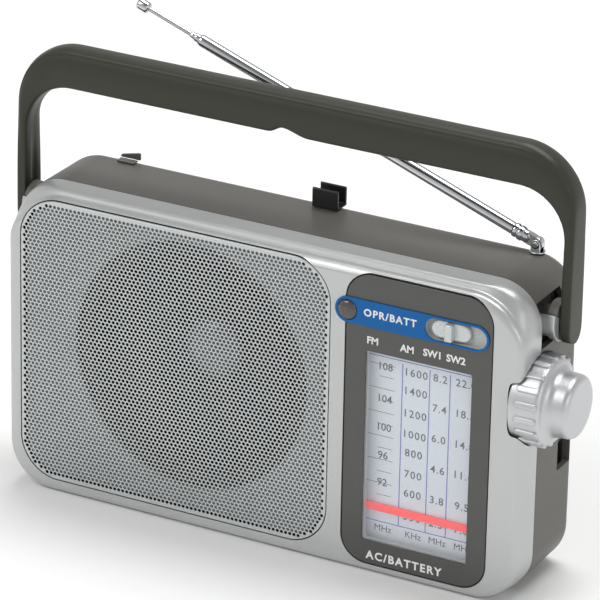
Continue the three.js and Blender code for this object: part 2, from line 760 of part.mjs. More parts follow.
const ROD = { x0: -32, x1: 54, y: 11, z: 122, r: 4 };
const ferriteRod = () => rodX(ROD.r, ROD.x0, ROD.x1, ROD.y, ROD.z, 16);
const antennaCoil = () =>
  cut(
    rodX(ROD.r + 1.6, 4, 24, ROD.y, ROD.z, 20),
    rodX(ROD.r + GAP, 0, 30, ROD.y, ROD.z, 16),
  );
function rodHolder() {
  const ring = rodX(ROD.r + 1.8, 36, 42, ROD.y, ROD.z, 20);
  const foot = box(36, 42, ROD.y, BOARD.front - GAP, 106, ROD.z - 2);
  return cut(join(ring, foot), rodX(ROD.r + GAP, 30, 50, ROD.y, ROD.z, 16));
}

function powerTransformer() {
  const core = box(-106, -76, -3, 19, 86, 112);
  const winding = box(-102, -80, -7, REAR_INSIDE - 0.6, 90.5, 107.5);
  const feet = box(-110, -72, 13, 14.2, 93, 102.8);
  return join(core, winding, feet);
}

function acInlet() {
  const { x, z, w, h, depth } = INLET;
  const back = BACK - 0.2;
  const body = box(x - w / 2, x + w / 2, back - depth, back, z - h / 2, z + h / 2);
  const cavity = plate(roundedRect({ x, z, w: w - 3, h: h - 3, r: 3.4 }), back - depth + 2, back + 1);
  const pins = [-4.3, 4.3].map((dx) => rodY(1.2, back - depth + 1, back - 2.5, x + dx, z, 12));
  return join(cut(body, cavity), ...pins);
}

function earphoneJack() {
  const body = join(
    rodY(4, REAR_INSIDE - 2, BACK - 0.4, JACK.x, JACK.z),
    box(JACK.x - 5, JACK.x + 5, REAR_INSIDE - 14, REAR_INSIDE - 0.4, JACK.z - 5, JACK.z + 5),
  );
  return cut(body, rodY(JACK.r, REAR_INSIDE - 12, BACK + 1, JACK.x, JACK.z, 16));
}

function cabinetScrew([x, z]) {
  const head = rodY(3, 17.3, 19.6, x, z, 16);
  const shank = rodY(1.3, PARTING - 9, 17.6, x, z, 12);
  const slots = [
    box(x - 2, x + 2, 18.6, 20, z - 0.4, z + 0.4),
    box(x - 0.4, x + 0.4, 18.6, 20, z - 2, z + 2),
  ];
  return cut(join(head, shank), ...slots);
}

// ---- antenna ----
const rest = (ANTENNA.angle * Math.PI) / 180;
const ALONG = new THREE.Vector3(-Math.cos(rest), 0, Math.sin(rest));
// The point of the antenna's centre line at a distance from its elbow.
const at = (s) => [ANTENNA.x + ALONG.x * s, ANTENNA.y, ANTENNA.z + ALONG.z * s];

const TUBES = [
  { name: "antenna_tube_outer", from: 11, to: 160, r: 2.5, bore: 2.15 },
  { name: "antenna_tube_middle", from: 15, to: 162.4, r: 2, bore: 1.65 },
  { name: "antenna_tube_inner", from: 18, to: 164.4, r: 1.5, bore: 1.15 },
];
const ROD_START = 42;
const ROD_END = 190;

function antennaTube({ from, to, r, bore }) {
  const tube = rod(at(from), at(to), r, r, 16);
  const hollow = rod(at(from + 2), at(to + 1), bore, bore, 16);
  return cut(tube, hollow);
}

function antennaRod() {
  return join(
    rod(at(ROD_START), at(ROD_END - 3), 0.9, 0.9, 16),
    rod(at(ROD_END - 5.5), at(ROD_END - 0.8), 2.4, 2.4, 16),
    rod(at(ROD_END - 0.9), at(ROD_END), 2.4, 1.6, 16),
  );
}

function antennaBase() {
  const { x, y, z } = ANTENNA;
  const fork = join(
    box(x - 3.1, x + 3.1, y - 3.4, y + 3.4, HEIGHT + 0.5, z),
    rodY(3.1, y - 3.4, y + 3.4, x, z, 24),
  );
  const turntable = rodZ(4.4, HEIGHT + 0.3, HEIGHT + 1, x, y, 16);
  const stud = rodZ(2.5, HEIGHT - 8, HEIGHT + 0.6, x, y, 16);
  const mouth = box(x - 8, x + 8, y - 1.6, y + 1.6, HEIGHT + 1, z + 8);
  const bore = rodY(1.15, y - 5, y + 5, x, z, 12);
  return cut(join(fork, turntable, stud), mouth, bore);
}

function antennaKnuckle() {
  const { x, y, z } = ANTENNA;
  const neck = rod(at(4.6), at(10.7), 2.75, 2.75, 20);
  const collar = rod(at(6.6), at(8), 3, 3, 20);
  const tongue = new THREE.BoxGeometry(5, 2.6, 4.4).translate(-2.5, 0, 0).rotateY(rest);
  const eye = rodY(2.9, y - 1.3, y + 1.3, x, z, 24);
  return cut(
    join(solid(tongue.translate(x, y, z)), eye, neck, collar),
    rodY(1.15, y - 4, y + 4, x, z, 12),
  );
}

const elbowPin = () => rodY(0.85, ANTENNA.y - 3.3, ANTENNA.y + 3.3, ANTENNA.x, ANTENNA.z, 12);

// A spring clip whose two prongs hold the folded antenna.
function antennaClip() {
  const { x0, x1 } = CLIP;
  const { y } = ANTENNA;
  const prongs = [-1, 1].map((side) => {
    const [y0, y1] = side > 0 ? [y + 2.8, y + 4] : [y - 4, y - 2.8];
    return box(x0, x1, y0, y1, HEIGHT + 0.3, HEIGHT + 8.4);
  });
  const floor = box(x0, x1, y - 4, y + 4, HEIGHT + 0.3, HEIGHT + 1);
  const stem = box(x0 + 1, x1 - 1, y - 3, y + 1.6, HEIGHT - WALL - 1, HEIGHT + 0.6);
  return join(floor, ...prongs, stem);
}

// A saddle near the antenna's tip.
function antennaRest() {
  const { y } = ANTENNA;
  const side = new THREE.Shape();
  side.moveTo(-90, HEIGHT + 0.3);
  side.lineTo(-81, HEIGHT + 0.3);
  side.lineTo(-83.4, HEIGHT + 3.9);
  side.lineTo(-88.4, HEIGHT + 3.9);
  side.closePath();
  return cut(plate(side, y - 3.9, y + 3.9), box(-95, -75, y - 2.8, y + 2.8, HEIGHT + 1, HEIGHT + 9));
}

// ---- handle ----
function handle() {
  const { outer, thick, top, bar, low, y, width } = HANDLE;
  const shape = new THREE.Shape();
  const outerR = 25;
  const innerR = 20;
  const inner = outer - thick;
  shape.moveTo(-outer, low);
  shape.lineTo(-inner, low);
  shape.absarc(-inner + innerR, top - bar - innerR, innerR, Math.PI, Math.PI / 2, true);
  shape.absarc(inner - innerR, top - bar - innerR, innerR, Math.PI / 2, 0, true);
  shape.lineTo(inner, low);
  shape.lineTo(outer, low);
  shape.absarc(outer - outerR, top - outerR, outerR, 0, Math.PI / 2);
  shape.absarc(-outer + outerR, top - outerR, outerR, Math.PI / 2, Math.PI);
  const body = plate(shape, y - width / 2, y + width / 2, 5);
  const profile = roundedRect({ x: y, z: (top + low) / 2, w: width, h: top - low, r: 5 });
  const ends = slab(profile, -outer - 1, outer + 1);
  const bores = [-1, 1].map((side) => {
    const [x0, x1] = side > 0 ? [inner - 1, outer - 2] : [-outer + 2, -inner + 1];
    return rodX(PIVOT.pin + 0.1, x0, x1, PIVOT.y, PIVOT.z);
  });
  return cut(body.intersect(ends), ...bores);
}

const handlePin = (side) => {
  const ends = [side * (SIDE - 5), side * (HANDLE.outer - 2.3)].sort((a, b) => a - b);
  return rodX(PIVOT.pin, ends[0], ends[1], PIVOT.y, PIVOT.z);
};

// ---- assembly ----
place("front_cabinet", SILVER, frontCabinet());
place("rear_cabinet", DARK, rearCabinet());
place("speaker_grille", MESH_STEEL, grille());
place("dial_bezel", GLOSSY_GREY, bezel());
place("dial_lens", CLEAR, lens());
place("dial_scale", SCALE_WHITE, scalePlate());
place("dial_pointer", RED, dialPointer());
place("accent_strip", BLUE, accentStrip());
place("indicator_lens", LAMP_SMOKE, indicatorLens());
place("indicator_led", LAMP_RED, indicatorLed());
place("band_slider", SILVER, bandSlider());
place("band_switch", WHITE_PLASTIC, bandSwitch());
place("speaker_basket", STEEL, speakerBasket());
place("speaker_magnet", FERRITE, speakerMagnet());
place("speaker_cone", PAPER, speakerCone());
place("speaker_dust_cap", PAPER, dustCap());
place("tuning_knob", SILVER, tuningKnob());
place("tuning_shaft", STEEL, tuningShaft());
place("shaft_bushing", BRASS, shaftBushing());
place("tuning_drum", WHITE_PLASTIC, tuningDrum());
place("tuning_capacitor", CLEAR, tuningCapacitor());
place("cord_pulley", WHITE_PLASTIC, cordPulley());
place("dial_cord", CORD_GREEN, dialCord());
place("volume_wheel", BLACK, volumeWheel());
place("volume_pot", STEEL, volumePot());
place("main_board", BOARD_TAN, mainBoard());
canPositions.forEach(([x, z], i) => place(`if_can_${i + 1}`, STEEL, ifCan(x, z)));
place("electrolytic_large", BLACK, electrolytic(36, 92, 6.5, 15));
place("electrolytic_small", BLACK, electrolytic(54, 95, 4, 11));
place("audio_chip", BLACK, audioChip());
place("ferrite_rod", FERRITE, ferriteRod());
place("antenna_coil", COPPER, antennaCoil());
place("rod_holder", WHITE_PLASTIC, rodHolder());
place("power_transformer", STEEL, powerTransformer());
place("ac_inlet", BLACK, acInlet());
place("earphone_jack", BLACK, earphoneJack());
place("battery_tray", DARK, batteryTray());
place("battery_contact", STEEL, batteryContact());
place("battery_spring", STEEL, batterySpring());
place("battery_door", DARK, batteryDoor());
SCREWS.forEach((spot, i) => place(`cabinet_screw_${i + 1}`, STEEL, cabinetScrew(spot)));
place("antenna_clip", BLACK, antennaClip());
place("antenna_rest", DARK, antennaRest());
place("antenna_base", CHROME, antennaBase());
place("elbow_pin", STEEL, elbowPin());
place("antenna_knuckle", CHROME, antennaKnuckle());
TUBES.forEach((tube) => place(tube.name, CHROME, antennaTube(tube)));
place("antenna_rod", CHROME, antennaRod());
place("handle", HANDLE_GREY, handle());
place("handle_pin_left", STEEL, handlePin(-1));
place("handle_pin_right", STEEL, handlePin(1));

export default root;
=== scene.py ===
"""Portable shortwave receiver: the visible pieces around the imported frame."""

import json
import math
from contextlib import contextmanager

import bmesh
import bpy
from mathutils import Matrix, Vector
from mathutils.geometry import delaunay_2d_cdt


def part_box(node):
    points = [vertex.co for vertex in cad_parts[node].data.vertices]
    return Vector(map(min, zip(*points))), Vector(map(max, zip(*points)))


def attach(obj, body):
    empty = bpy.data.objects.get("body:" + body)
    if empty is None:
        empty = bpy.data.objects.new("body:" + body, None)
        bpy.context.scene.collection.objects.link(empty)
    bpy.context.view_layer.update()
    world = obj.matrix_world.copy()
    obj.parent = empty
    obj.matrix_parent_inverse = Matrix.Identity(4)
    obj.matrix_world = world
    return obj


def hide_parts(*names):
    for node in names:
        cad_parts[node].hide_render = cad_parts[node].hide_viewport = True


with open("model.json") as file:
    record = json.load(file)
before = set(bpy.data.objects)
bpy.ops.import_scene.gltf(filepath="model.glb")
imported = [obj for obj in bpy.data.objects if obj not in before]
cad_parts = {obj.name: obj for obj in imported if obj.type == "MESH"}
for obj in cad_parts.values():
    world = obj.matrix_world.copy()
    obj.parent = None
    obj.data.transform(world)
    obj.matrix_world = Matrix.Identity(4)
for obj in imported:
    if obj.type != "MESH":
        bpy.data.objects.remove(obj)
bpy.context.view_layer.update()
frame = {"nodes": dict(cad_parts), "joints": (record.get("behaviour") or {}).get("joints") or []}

MM = 0.001

# ---- places, in millimetres


def mm_box(node):
    low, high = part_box(node)
    return [v / MM for v in low], [v / MM for v in high]


def centre(node):
    low, high = mm_box(node)
    return [(a + b) / 2 for a, b in zip(low, high)]


def rect(node, grow=0.0):
    """A node's outline seen from the front: centre x and z, width and height."""
    low, high = mm_box(node)
    return dict(
        x=(low[0] + high[0]) / 2,
        z=(low[2] + high[2]) / 2,
        w=high[0] - low[0] + 2 * grow,
        h=high[2] - low[2] + 2 * grow,
    )


JOINTS = {j["name"]: j for j in frame["joints"]}
REAR_LOW, REAR_HIGH = mm_box("rear_cabinet")
FRONT = mm_box("front_cabinet")[0][1]
BACK = REAR_HIGH[1]
HEIGHT = REAR_HIGH[2]
SIDE = 115.0  # half the cabinet's width
CORNER = 18.0  # radius of the cabinet's corners seen from the front
WALL = 2.4
PARTING = REAR_LOW[1]  # plane where the two cabinet halves meet
POCKET = 1.4  # depth of the pockets that the grille and the panel lie in
GRILLE_CORNER = 17.0
GRILLE = rect("speaker_grille")
GRILLE.update(w=GRILLE["w"] - 2.2, h=GRILLE["h"] - 1.2, z=GRILLE["z"] - 0.6)  # a little smaller than in CAD
BEZEL = rect("dial_bezel")
BEZEL_CORNER = 11.0
WINDOW = rect("dial_lens", 0.25)
SPEAKER = centre("speaker_basket")
SPEAKER_OPENING = 52.5
STRIP_Z = centre("indicator_lens")[2]
STRIP_H = 10.8
LAMP_X = centre("indicator_lens")[0]
LAMP_HOLE = 4.3
SLOT = dict(x=86.0, w=26.5, h=9.1)  # opening of the band switch
SCALE_LEFT, SCALE_RIGHT = 45.6, 92.8
KNOB = [v / MM for v in JOINTS["tuning_turn"]["pos_m"]]
KNOB_RING, KNOB_GRIP = 17.5, 13.0  # radii of the ribbed ring and of the grip
WHEEL = centre("volume_wheel")
PIVOT = [v / MM for v in JOINTS["handle_swing"]["pos_m"]]
HANDLE_LOW, HANDLE_HIGH = mm_box("handle")
ARM = 4.3  # thickness of the handle's arms
BAR = 17.2  # height of the handle's bar
HANDLE_FOOT = 6.3  # radius of the arms' round ends
NOTCH = (-9.0, -3.5, 8.0)  # left end, crest and right end of the finger notch
DOOR_LOW, DOOR_HIGH = mm_box("battery_door")
ELBOW = [v / MM for v in JOINTS["antenna_raise"]["pos_m"]]
ALONG = Vector(JOINTS["antenna_extend_1"]["axis"])
INLET = centre("ac_inlet")
JACK = centre("earphone_jack")

# ---- mesh helpers


@contextmanager
def editing(mesh):
    """A bmesh of a mesh, written back at the end."""
    bm = bmesh.new()
    bm.from_mesh(mesh)
    yield bm
    bm.to_mesh(mesh)
    bm.free()


def added(name, data):
    """An object in the scene that shows a mesh, curve, light or camera."""
    obj = bpy.data.objects.new(name, data)
    bpy.context.scene.collection.objects.link(obj)
    return obj


def new_object(name, verts, faces):
    """A mesh object from points in millimetres."""
    mesh = bpy.data.meshes.new(name)
    mesh.from_pydata([(x * MM, y * MM, z * MM) for x, y, z in verts], [], faces)
    mesh.validate()
    return added(name, mesh)


def loft(name, rings, caps=(True, True), loop=False):
    """A skin through closed rings with equal numbers of points."""
    n = len(rings[0])
    verts = [p for ring in rings for p in ring]
    faces = []
    spans = len(rings) if loop else len(rings) - 1
    for i in range(spans):
        a, b = i * n, ((i + 1) % len(rings)) * n
        faces += [(a + j, a + (j + 1) % n, b + (j + 1) % n, b + j) for j in range(n)]
    if caps[0]:
        faces.append(tuple(reversed(range(n))))
    if caps[1]:
        faces.append(tuple(range(len(verts) - n, len(verts))))
    obj = new_object(name, verts, faces)
    with editing(obj.data) as bm:
        bmesh.ops.recalc_face_normals(bm, faces=bm.faces)
    return obj


def triangulate(obj):
    with editing(obj.data) as bm:
        bmesh.ops.triangulate(bm, faces=bm.faces)


def turned(name, profile, origin, axis, sides=96, caps=(True, True)):
    """A profile of (distance along the axis, radius) turned about it."""
    axis = Vector(axis).normalized()
    side = axis.orthogonal().normalized()
    up = axis.cross(side)
    origin = Vector(origin)
    rings = []
    for along, radius in profile:
        ring = []
        for i in range(sides):
            a = 2 * math.pi * i / sides
            outward = side * math.cos(a) + up * math.sin(a)
            ring.append(origin + axis * along + outward * max(radius, 1e-3))
        rings.append(ring)
    return loft(name, rings, caps)


def bore(radius, length, start, axis=(0, 1, 0), sides=48):
    """A round cutter from its start along its axis."""
    return turned("cut", [(0, radius), (length, radius)], start, axis, sides)


def round_rect(x=0.0, z=0.0, w=1.0, h=1.0, r=1.0, n=8):
    """Points (x, z) of a rectangle with round corners."""
    r = min(r, w / 2 - 1e-3, h / 2 - 1e-3)
    points = []
    for k, (sx, sz) in enumerate([(1, 1), (-1, 1), (-1, -1), (1, -1)]):
        for i in range(n + 1):
            a = math.pi / 2 * (k + i / n)
            points.append((x + sx * (w / 2 - r) + r * math.cos(a), z + sz * (h / 2 - r) + r * math.sin(a)))
    return points


def stepped(place, corner, steps, front):
    """Rings of a rounded rectangle: each step is an inset and a depth behind the front."""
    rings = []
    for inset, depth in steps:
        outline = round_rect(place["x"], place["z"], place["w"] - 2 * inset, place["h"] - 2 * inset,
                             corner - inset, 16)
        rings.append([(x, front + depth, z) for x, z in outline])
    return rings


def prism(name, outline, y0, y1):
    """An outline in x and z made solid from y0 to y1."""
    return loft(name, [[(x, y, z) for x, z in outline] for y in (y0, y1)])


def block(name, low, high):
    (x0, y0, z0), (x1, y1, z1) = low, high
    return loft(name, [[(x0, y0, z), (x1, y0, z), (x1, y1, z), (x0, y1, z)] for z in (z0, z1)])


def evaluated(obj):
    """Applies an object's modifiers to its mesh."""
    graph = bpy.context.evaluated_depsgraph_get()
    mesh = bpy.data.meshes.new_from_object(obj.evaluated_get(graph))
    old = obj.data
    obj.modifiers.clear()
    obj.data = mesh
    bpy.data.meshes.remove(old)


def combine(obj, others, operation="DIFFERENCE"):
    """Cuts the other objects out of this one, adds them or keeps what they share, and removes them."""
    for other in others:
        mod = obj.modifiers.new("combine", "BOOLEAN")
        mod.operation = operation
        mod.solver = "MANIFOLD"
        mod.object = other
        evaluated(obj)
        bpy.data.objects.remove(other)
    return obj


def join(name, objects):
    """One object holding the meshes of several."""
    bm = bmesh.new()
    for o in objects:
        start = len(bm.verts)
        bm.from_mesh(o.data)
        bm.verts.ensure_lookup_table()
        bmesh.ops.transform(bm, matrix=o.matrix_world, verts=bm.verts[start:])
        bpy.data.objects.remove(o)
    mesh = bpy.data.meshes.new(name)
    bm.to_mesh(mesh)
    bm.free()
    return added(name, mesh)


def soften(obj, width=0.3, segments=2, angle=32, smooth=40):
    """Rounds the sharp edges and shades the rest smooth."""
    if width:
        mod = obj.modifiers.new("edges", "BEVEL")
        mod.width = width * MM
        mod.segments = segments
        mod.limit_method = "ANGLE"
        mod.angle_limit = math.radians(angle)
        mod.use_clamp_overlap = True
        mod.harden_normals = False
        evaluated(obj)
    obj.data.shade_smooth()
    obj.data.set_sharp_from_angle(angle=math.radians(smooth))
    mod = obj.modifiers.new("normals", "WEIGHTED_NORMAL")
    mod.keep_sharp = True
    mod.weight = 60
    return obj


def from_node(node, name, width):
    """A softened copy of a CAD node, which it then replaces."""
    mesh = frame["nodes"][node].data.copy()
    mesh.materials.clear()
    with editing(mesh) as bm:
        bmesh.ops.remove_doubles(bm, verts=bm.verts, dist=1e-6)
        bmesh.ops.dissolve_limit(bm, angle_limit=math.radians(1), verts=bm.verts, edges=bm.edges)
    obj = added(name, mesh)
    soften(obj, width)
    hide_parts(node)
    return obj


def smoothstep(a, b, v):
    t = min(max((v - a) / (b - a), 0.0), 1.0)
    return t * t * (3 - 2 * t)


def lerp(a, b, t):
    return a + (b - a) * t


# ---- materials


def linear(rgb):
    """A linear colour from display values of 0 to 255."""
    return [((v / 255 + 0.055) / 1.055) ** 2.4 if v / 255 > 0.04045 else v / 255 / 12.92 for v in rgb]


def material(name, rgb, rough=0.5, metal=0.0, vary=0.05, grain=900.0, rough_vary=0.06,
             bump=0.0, bump_scale=1500.0, coat=0.0, coat_rough=0.1, transmission=0.0,
             specular=0.5, stretch=(1, 1, 1), emission=None, alpha=1.0):
    """A procedural material: broad patches and fine grain in colour, grain in roughness, and a bump."""
    mat = bpy.data.materials.new(name)
    mat.use_nodes = True
    tree = mat.node_tree
    nodes, links = tree.nodes, tree.links
    shader = nodes["Principled BSDF"]
    base = linear(rgb)
    coord = nodes.new("ShaderNodeTexCoord")
    mapping = nodes.new("ShaderNodeMapping")
    mapping.inputs["Scale"].default_value = stretch
    links.new(coord.outputs["Object"], mapping.inputs["Vector"])

    def noise(scale, detail=3.0):
        n = nodes.new("ShaderNodeTexNoise")
        n.inputs["Scale"].default_value = scale
        n.inputs["Detail"].default_value = detail
        links.new(mapping.outputs["Vector"], n.inputs["Vector"])
        return n

    fine = noise(grain)
    broad = noise(18.0, 4.0)
    both = nodes.new("ShaderNodeMix")
    both.data_type = "FLOAT"
    both.inputs["Factor"].default_value = 0.5
    links.new(fine.outputs["Fac"], both.inputs["A"])
    links.new(broad.outputs["Fac"], both.inputs["B"])
    ramp = nodes.new("ShaderNodeValToRGB")
    for element, position, factor in zip(ramp.color_ramp.elements, (0.3, 0.7), (1 - vary, 1 + vary)):
        element.position = position
        element.color = [min(c * factor, 1) for c in base] + [1]
    links.new(both.outputs["Result"], ramp.inputs["Fac"])
    links.new(ramp.outputs["Color"], shader.inputs["Base Color"])
    spread = nodes.new("ShaderNodeMapRange")
    for socket, value in [("From Min", 0.3), ("From Max", 0.7), ("To Min", max(rough - rough_vary, 0.02)),
                          ("To Max", min(rough + rough_vary, 1.0))]:
        spread.inputs[socket].default_value = value
    links.new(both.outputs["Result"], spread.inputs["Value"])
    links.new(spread.outputs["Result"], shader.inputs["Roughness"])
    if bump:
        height = noise(bump_scale, 2.0)
        node = nodes.new("ShaderNodeBump")
        node.inputs["Strength"].default_value = bump
        node.inputs["Distance"].default_value = 0.0001
        links.new(height.outputs["Fac"], node.inputs["Height"])
        links.new(node.outputs["Normal"], shader.inputs["Normal"])
    for socket, value in [("Metallic", metal), ("Coat Weight", coat), ("Coat Roughness", coat_rough),
                          ("Transmission Weight", transmission), ("IOR", 1.45),
                          ("Specular IOR Level", specular), ("Alpha", alpha)]:
        shader.inputs[socket].default_value = value
    if emission:
        shader.inputs["Emission Color"].default_value = linear(emission[0]) + [1]
        shader.inputs["Emission Strength"].default_value = emission[1]
    return mat


SILVER = material("silver_paint", (190, 192, 191), 0.34, 0.55, vary=0.03, grain=2600,
                  bump=0.05, bump_scale=2600, coat=0.15, coat_rough=0.25)
KNOB_SILVER = material("knob_silver", (198, 199, 201), 0.38, 0.8, vary=0.03, grain=2000, rough_vary=0.04)
DARK = material("dark_plastic", (90, 88, 83), 0.4, vary=0.05, grain=1800, bump=0.18, bump_scale=2400)
HANDLE_GREY = material("handle_plastic", (52, 53, 44), 0.4, specular=0.35, vary=0.05, grain=1500,
                       bump=0.12, bump_scale=2200)
PANEL = material("panel_gloss", (70, 70, 67), 0.22, vary=0.03, grain=1200, rough_vary=0.03,
                 coat=0.4, coat_rough=0.06)
STEEL_MESH = material("grille_steel", (194, 198, 198), 0.36, 0.5, vary=0.04, grain=1400, rough_vary=0.05)
CLEAR = material("clear_lens", (238, 243, 248), 0.03, vary=0.01, rough_vary=0.01, alpha=0.1)
MILKY = material("clear_plastic", (200, 208, 212), 0.3, transmission=0.5, vary=0.03)
SCALE_WHITE = material("scale_print", (217, 223, 230), 0.55, vary=0.015, grain=1600)
SCALE_INK = material("scale_ink", (52, 54, 62), 0.6, vary=0.03)
SCALE_BLUE = material("scale_blue", (78, 84, 186), 0.6, vary=0.03)
LABEL_WHITE = material("label_white", (226, 228, 228), 0.5, vary=0.02)
BLUE = material("strip_blue", (0, 92, 158), 0.4, vary=0.04, specular=0.3)
# painted glow: the red pointer gives off a faint light of its own though it is no lamp
RED = material("pointer_red", (240, 34, 32), 0.3, vary=0.03, alpha=0.9, emission=((255, 50, 46), 0.3))
SMOKE = material("lamp_smoke", (104, 96, 94), 0.12, vary=0.05, transmission=0.55, coat=0.6, coat_rough=0.04)
LAMP_RED = material("lamp_red", (120, 32, 26), 0.25, vary=0.05, transmission=0.3)
BLACK = material("black_plastic", (26, 26, 27), 0.42, vary=0.1, grain=1500, bump=0.12)
WHITE = material("white_plastic", (214, 211, 200), 0.5, vary=0.04)
STEEL = material("plated_steel", (158, 161, 164), 0.3, 0.9, vary=0.05, stretch=(1, 1, 8))
CHROME = material("antenna_chrome", (205, 207, 210), 0.08, 1.0, vary=0.02, rough_vary=0.02)
# partly painted shade: the cone's own black paper, made darker than real paper so that the shade seen through
# the grille's holes comes out black
SHADED_PAPER = material("cone_paper", (7, 7, 8), 0.9, vary=0.2, grain=700, bump=0.5, bump_scale=900)
FERRITE = material("ferrite", (48, 48, 50), 0.7, vary=0.1, bump=0.4)
BRASS = material("brass", (180, 150, 84), 0.32, 0.9, vary=0.05)
COPPER = material("copper_wire", (166, 92, 50), 0.4, 0.8, vary=0.1, stretch=(60, 1, 1))
BOARD = material("board_laminate", (158, 128, 76), 0.6, vary=0.1)
CORD = material("cord_textile", (94, 106, 78), 0.85, vary=0.25, grain=3000, bump=0.6, bump_scale=3000)
CAPACITOR = material("capacitor_sleeve", (24, 30, 52), 0.35, vary=0.05)
SLOT_GREY = material("slot_grey", (188, 190, 188), 0.45, vary=0.03)
SLIDER_SILVER = material("slider_silver", (200, 203, 203), 0.3, 0.4, vary=0.02)
DOME = material("dome_paper", (98, 103, 106), 0.14, vary=0.06, grain=700, coat=1.0, coat_rough=0.06)
# painted shade: a grey sheet standing for the silver front in shadow behind the grille
BAFFLE_SHADE = material("baffle_painted_shade", (138, 142, 142), 0.8, vary=0.12, grain=700, bump=0.3, bump_scale=2600)
# painted shade: near-black sheets standing for the shade in the gaps under the grille's edge and round the
# dial panel
GAP_SHADE = material("painted_gap_shade", (14, 14, 15), 0.95, vary=0.3, grain=2500, bump=0.4, bump_scale=2600)


def paint(obj, mat, body):
    """Gives a piece its material and the body it rides on."""
    obj.data.materials.clear()
    obj.data.materials.append(mat)
    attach(obj, body)
    return obj


def stand_in(obj, node, mat, body):
    """Puts a finished piece in the place of a CAD node."""
    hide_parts(node)
    return paint(obj, mat, body)


# ---- carried-over CAD nodes

KEPT = {
    "indicator_led": LAMP_RED, "band_switch": WHITE, "speaker_basket": BLACK, "speaker_magnet": FERRITE,
    "tuning_shaft": STEEL, "shaft_bushing": BRASS, "tuning_drum": WHITE, "tuning_capacitor": MILKY,
    "cord_pulley": WHITE, "dial_cord": CORD, "volume_pot": STEEL, "main_board": BOARD,
    "if_can_1": STEEL, "if_can_2": STEEL, "if_can_3": STEEL, "electrolytic_large": CAPACITOR,
    "electrolytic_small": CAPACITOR, "audio_chip": BLACK, "ferrite_rod": FERRITE, "antenna_coil": COPPER,
    "rod_holder": WHITE, "power_transformer": STEEL, "battery_tray": DARK, "battery_contact": STEEL,
    "battery_spring": STEEL, "elbow_pin": STEEL, "handle_pin_left": STEEL, "handle_pin_right": STEEL,
    "dial_scale": SCALE_WHITE,
}
for node, mat in KEPT.items():
    data = frame["nodes"][node].data
    data.materials.clear()
    data.materials.append(mat)

# ---- camera and light


def add_camera():
    data = bpy.data.cameras.new("camera")
    data.lens = 282.4
    data.sensor_width = 36
    data.clip_start = 0.05
    data.clip_end = 50
    camera = added("camera", data)
    place = Vector((0.80313, -1.50465, 0.83092))
    target = Vector((0.01825, -0.025, 0.1097))
    turn = (target - place).to_track_quat("-Z", "Y").to_matrix().to_4x4()
    camera.matrix_world = Matrix.Translation(place) @ turn @ Matrix.Rotation(math.radians(1.154), 4, "Z")
    bpy.context.scene.camera = camera


def add_light(name, place, target, size, power):
    data = bpy.data.lights.new(name, "AREA")
    data.shape = "RECTANGLE"
    data.size, data.size_y = size
    data.energy = power
    light = added(name, data)
    light.location = place
    light.rotation_euler = (Vector(target) - Vector(place)).to_track_quat("-Z", "Y").to_euler()


def add_studio():
    scene = bpy.context.scene
    scene.view_settings.view_transform = "Standard"
    world = bpy.data.worlds.new("studio")
    scene.world = world
    world.use_nodes = True
    nodes, links = world.node_tree.nodes, world.node_tree.links
    background = nodes["Background"]
    coord = nodes.new("ShaderNodeTexCoord")
    split = nodes.new("ShaderNodeSeparateXYZ")
    links.new(coord.outputs["Generated"], split.inputs["Vector"])
    height = nodes.new("ShaderNodeMapRange")
    height.inputs["From Min"].default_value = -1
    height.inputs["From Max"].default_value = 1
    links.new(split.outputs["Z"], height.inputs["Value"])
    ramp = nodes.new("ShaderNodeValToRGB")
    # brightness of the sky from straight down to straight up
    stops = [(0.0, 0.95), (0.48, 0.95), (0.62, 1.0), (0.74, 0.75), (0.86, 0.32), (1.0, 0.28)]
    while len(ramp.color_ramp.elements) < len(stops):
        ramp.color_ramp.elements.new(0.5)
    for element, (position, value) in zip(ramp.color_ramp.elements, stops):
        element.position = position
        element.color = (value, value, value * 1.01, 1)
    links.new(height.outputs["Result"], ramp.inputs["Fac"])
    links.new(ramp.outputs["Color"], background.inputs["Color"])
    background.inputs["Strength"].default_value = 0.74
    aim = (0, 0, 0.08)
    add_light("key", (-0.9, -1.3, 1.7), aim, (1.1, 1.1), 16.4)
    add_light("fill", (1.7, -0.7, 0.9), aim, (0.9, 0.9), 4)
    add_light("top", (0.1, 0.5, 1.9), aim, (1.6, 0.9), 28)
    far = 6000
    corners = [(-far, -far, 0), (far, -far, 0), (far, far, 0), (-far, far, 0)]
    floor = new_object("floor", corners, [(0, 1, 2, 3)])
    floor.data.materials.append(material("floor", (244, 244, 243), 0.75, vary=0.005, grain=3, specular=0.2))


add_camera()
add_studio()

# ---- cabinet shells


def cabinet_outline(radius_top, radius_low):
    """Yields, round the cabinet, a corner's centre x and z, its radius, and a direction away from it."""
    n = 14
    for k, (sx, sz) in enumerate([(1, 1), (-1, 1), (-1, -1), (1, -1)]):
        radius = radius_top if sz > 0 else radius_low
        for i in range(n + 1):
            a = math.pi / 2 * (k + i / n)
            cx = sx * (SIDE - radius)
            cz = HEIGHT / 2 + sz * (HEIGHT / 2 - radius)
            yield cx, cz, radius, math.cos(a), math.sin(a)


def cabinet_ring(y, inset, radius_top=CORNER, radius_low=CORNER):
    """One ring of the cabinet: inset may depend on how far a point faces up."""
    ring = []
    for cx, cz, radius, c, s in cabinet_outline(radius_top, radius_low):
        d = inset(s) if callable(inset) else inset
        ring.append((cx + (radius - d) * c, y, cz + (radius - d) * s))
    return ring


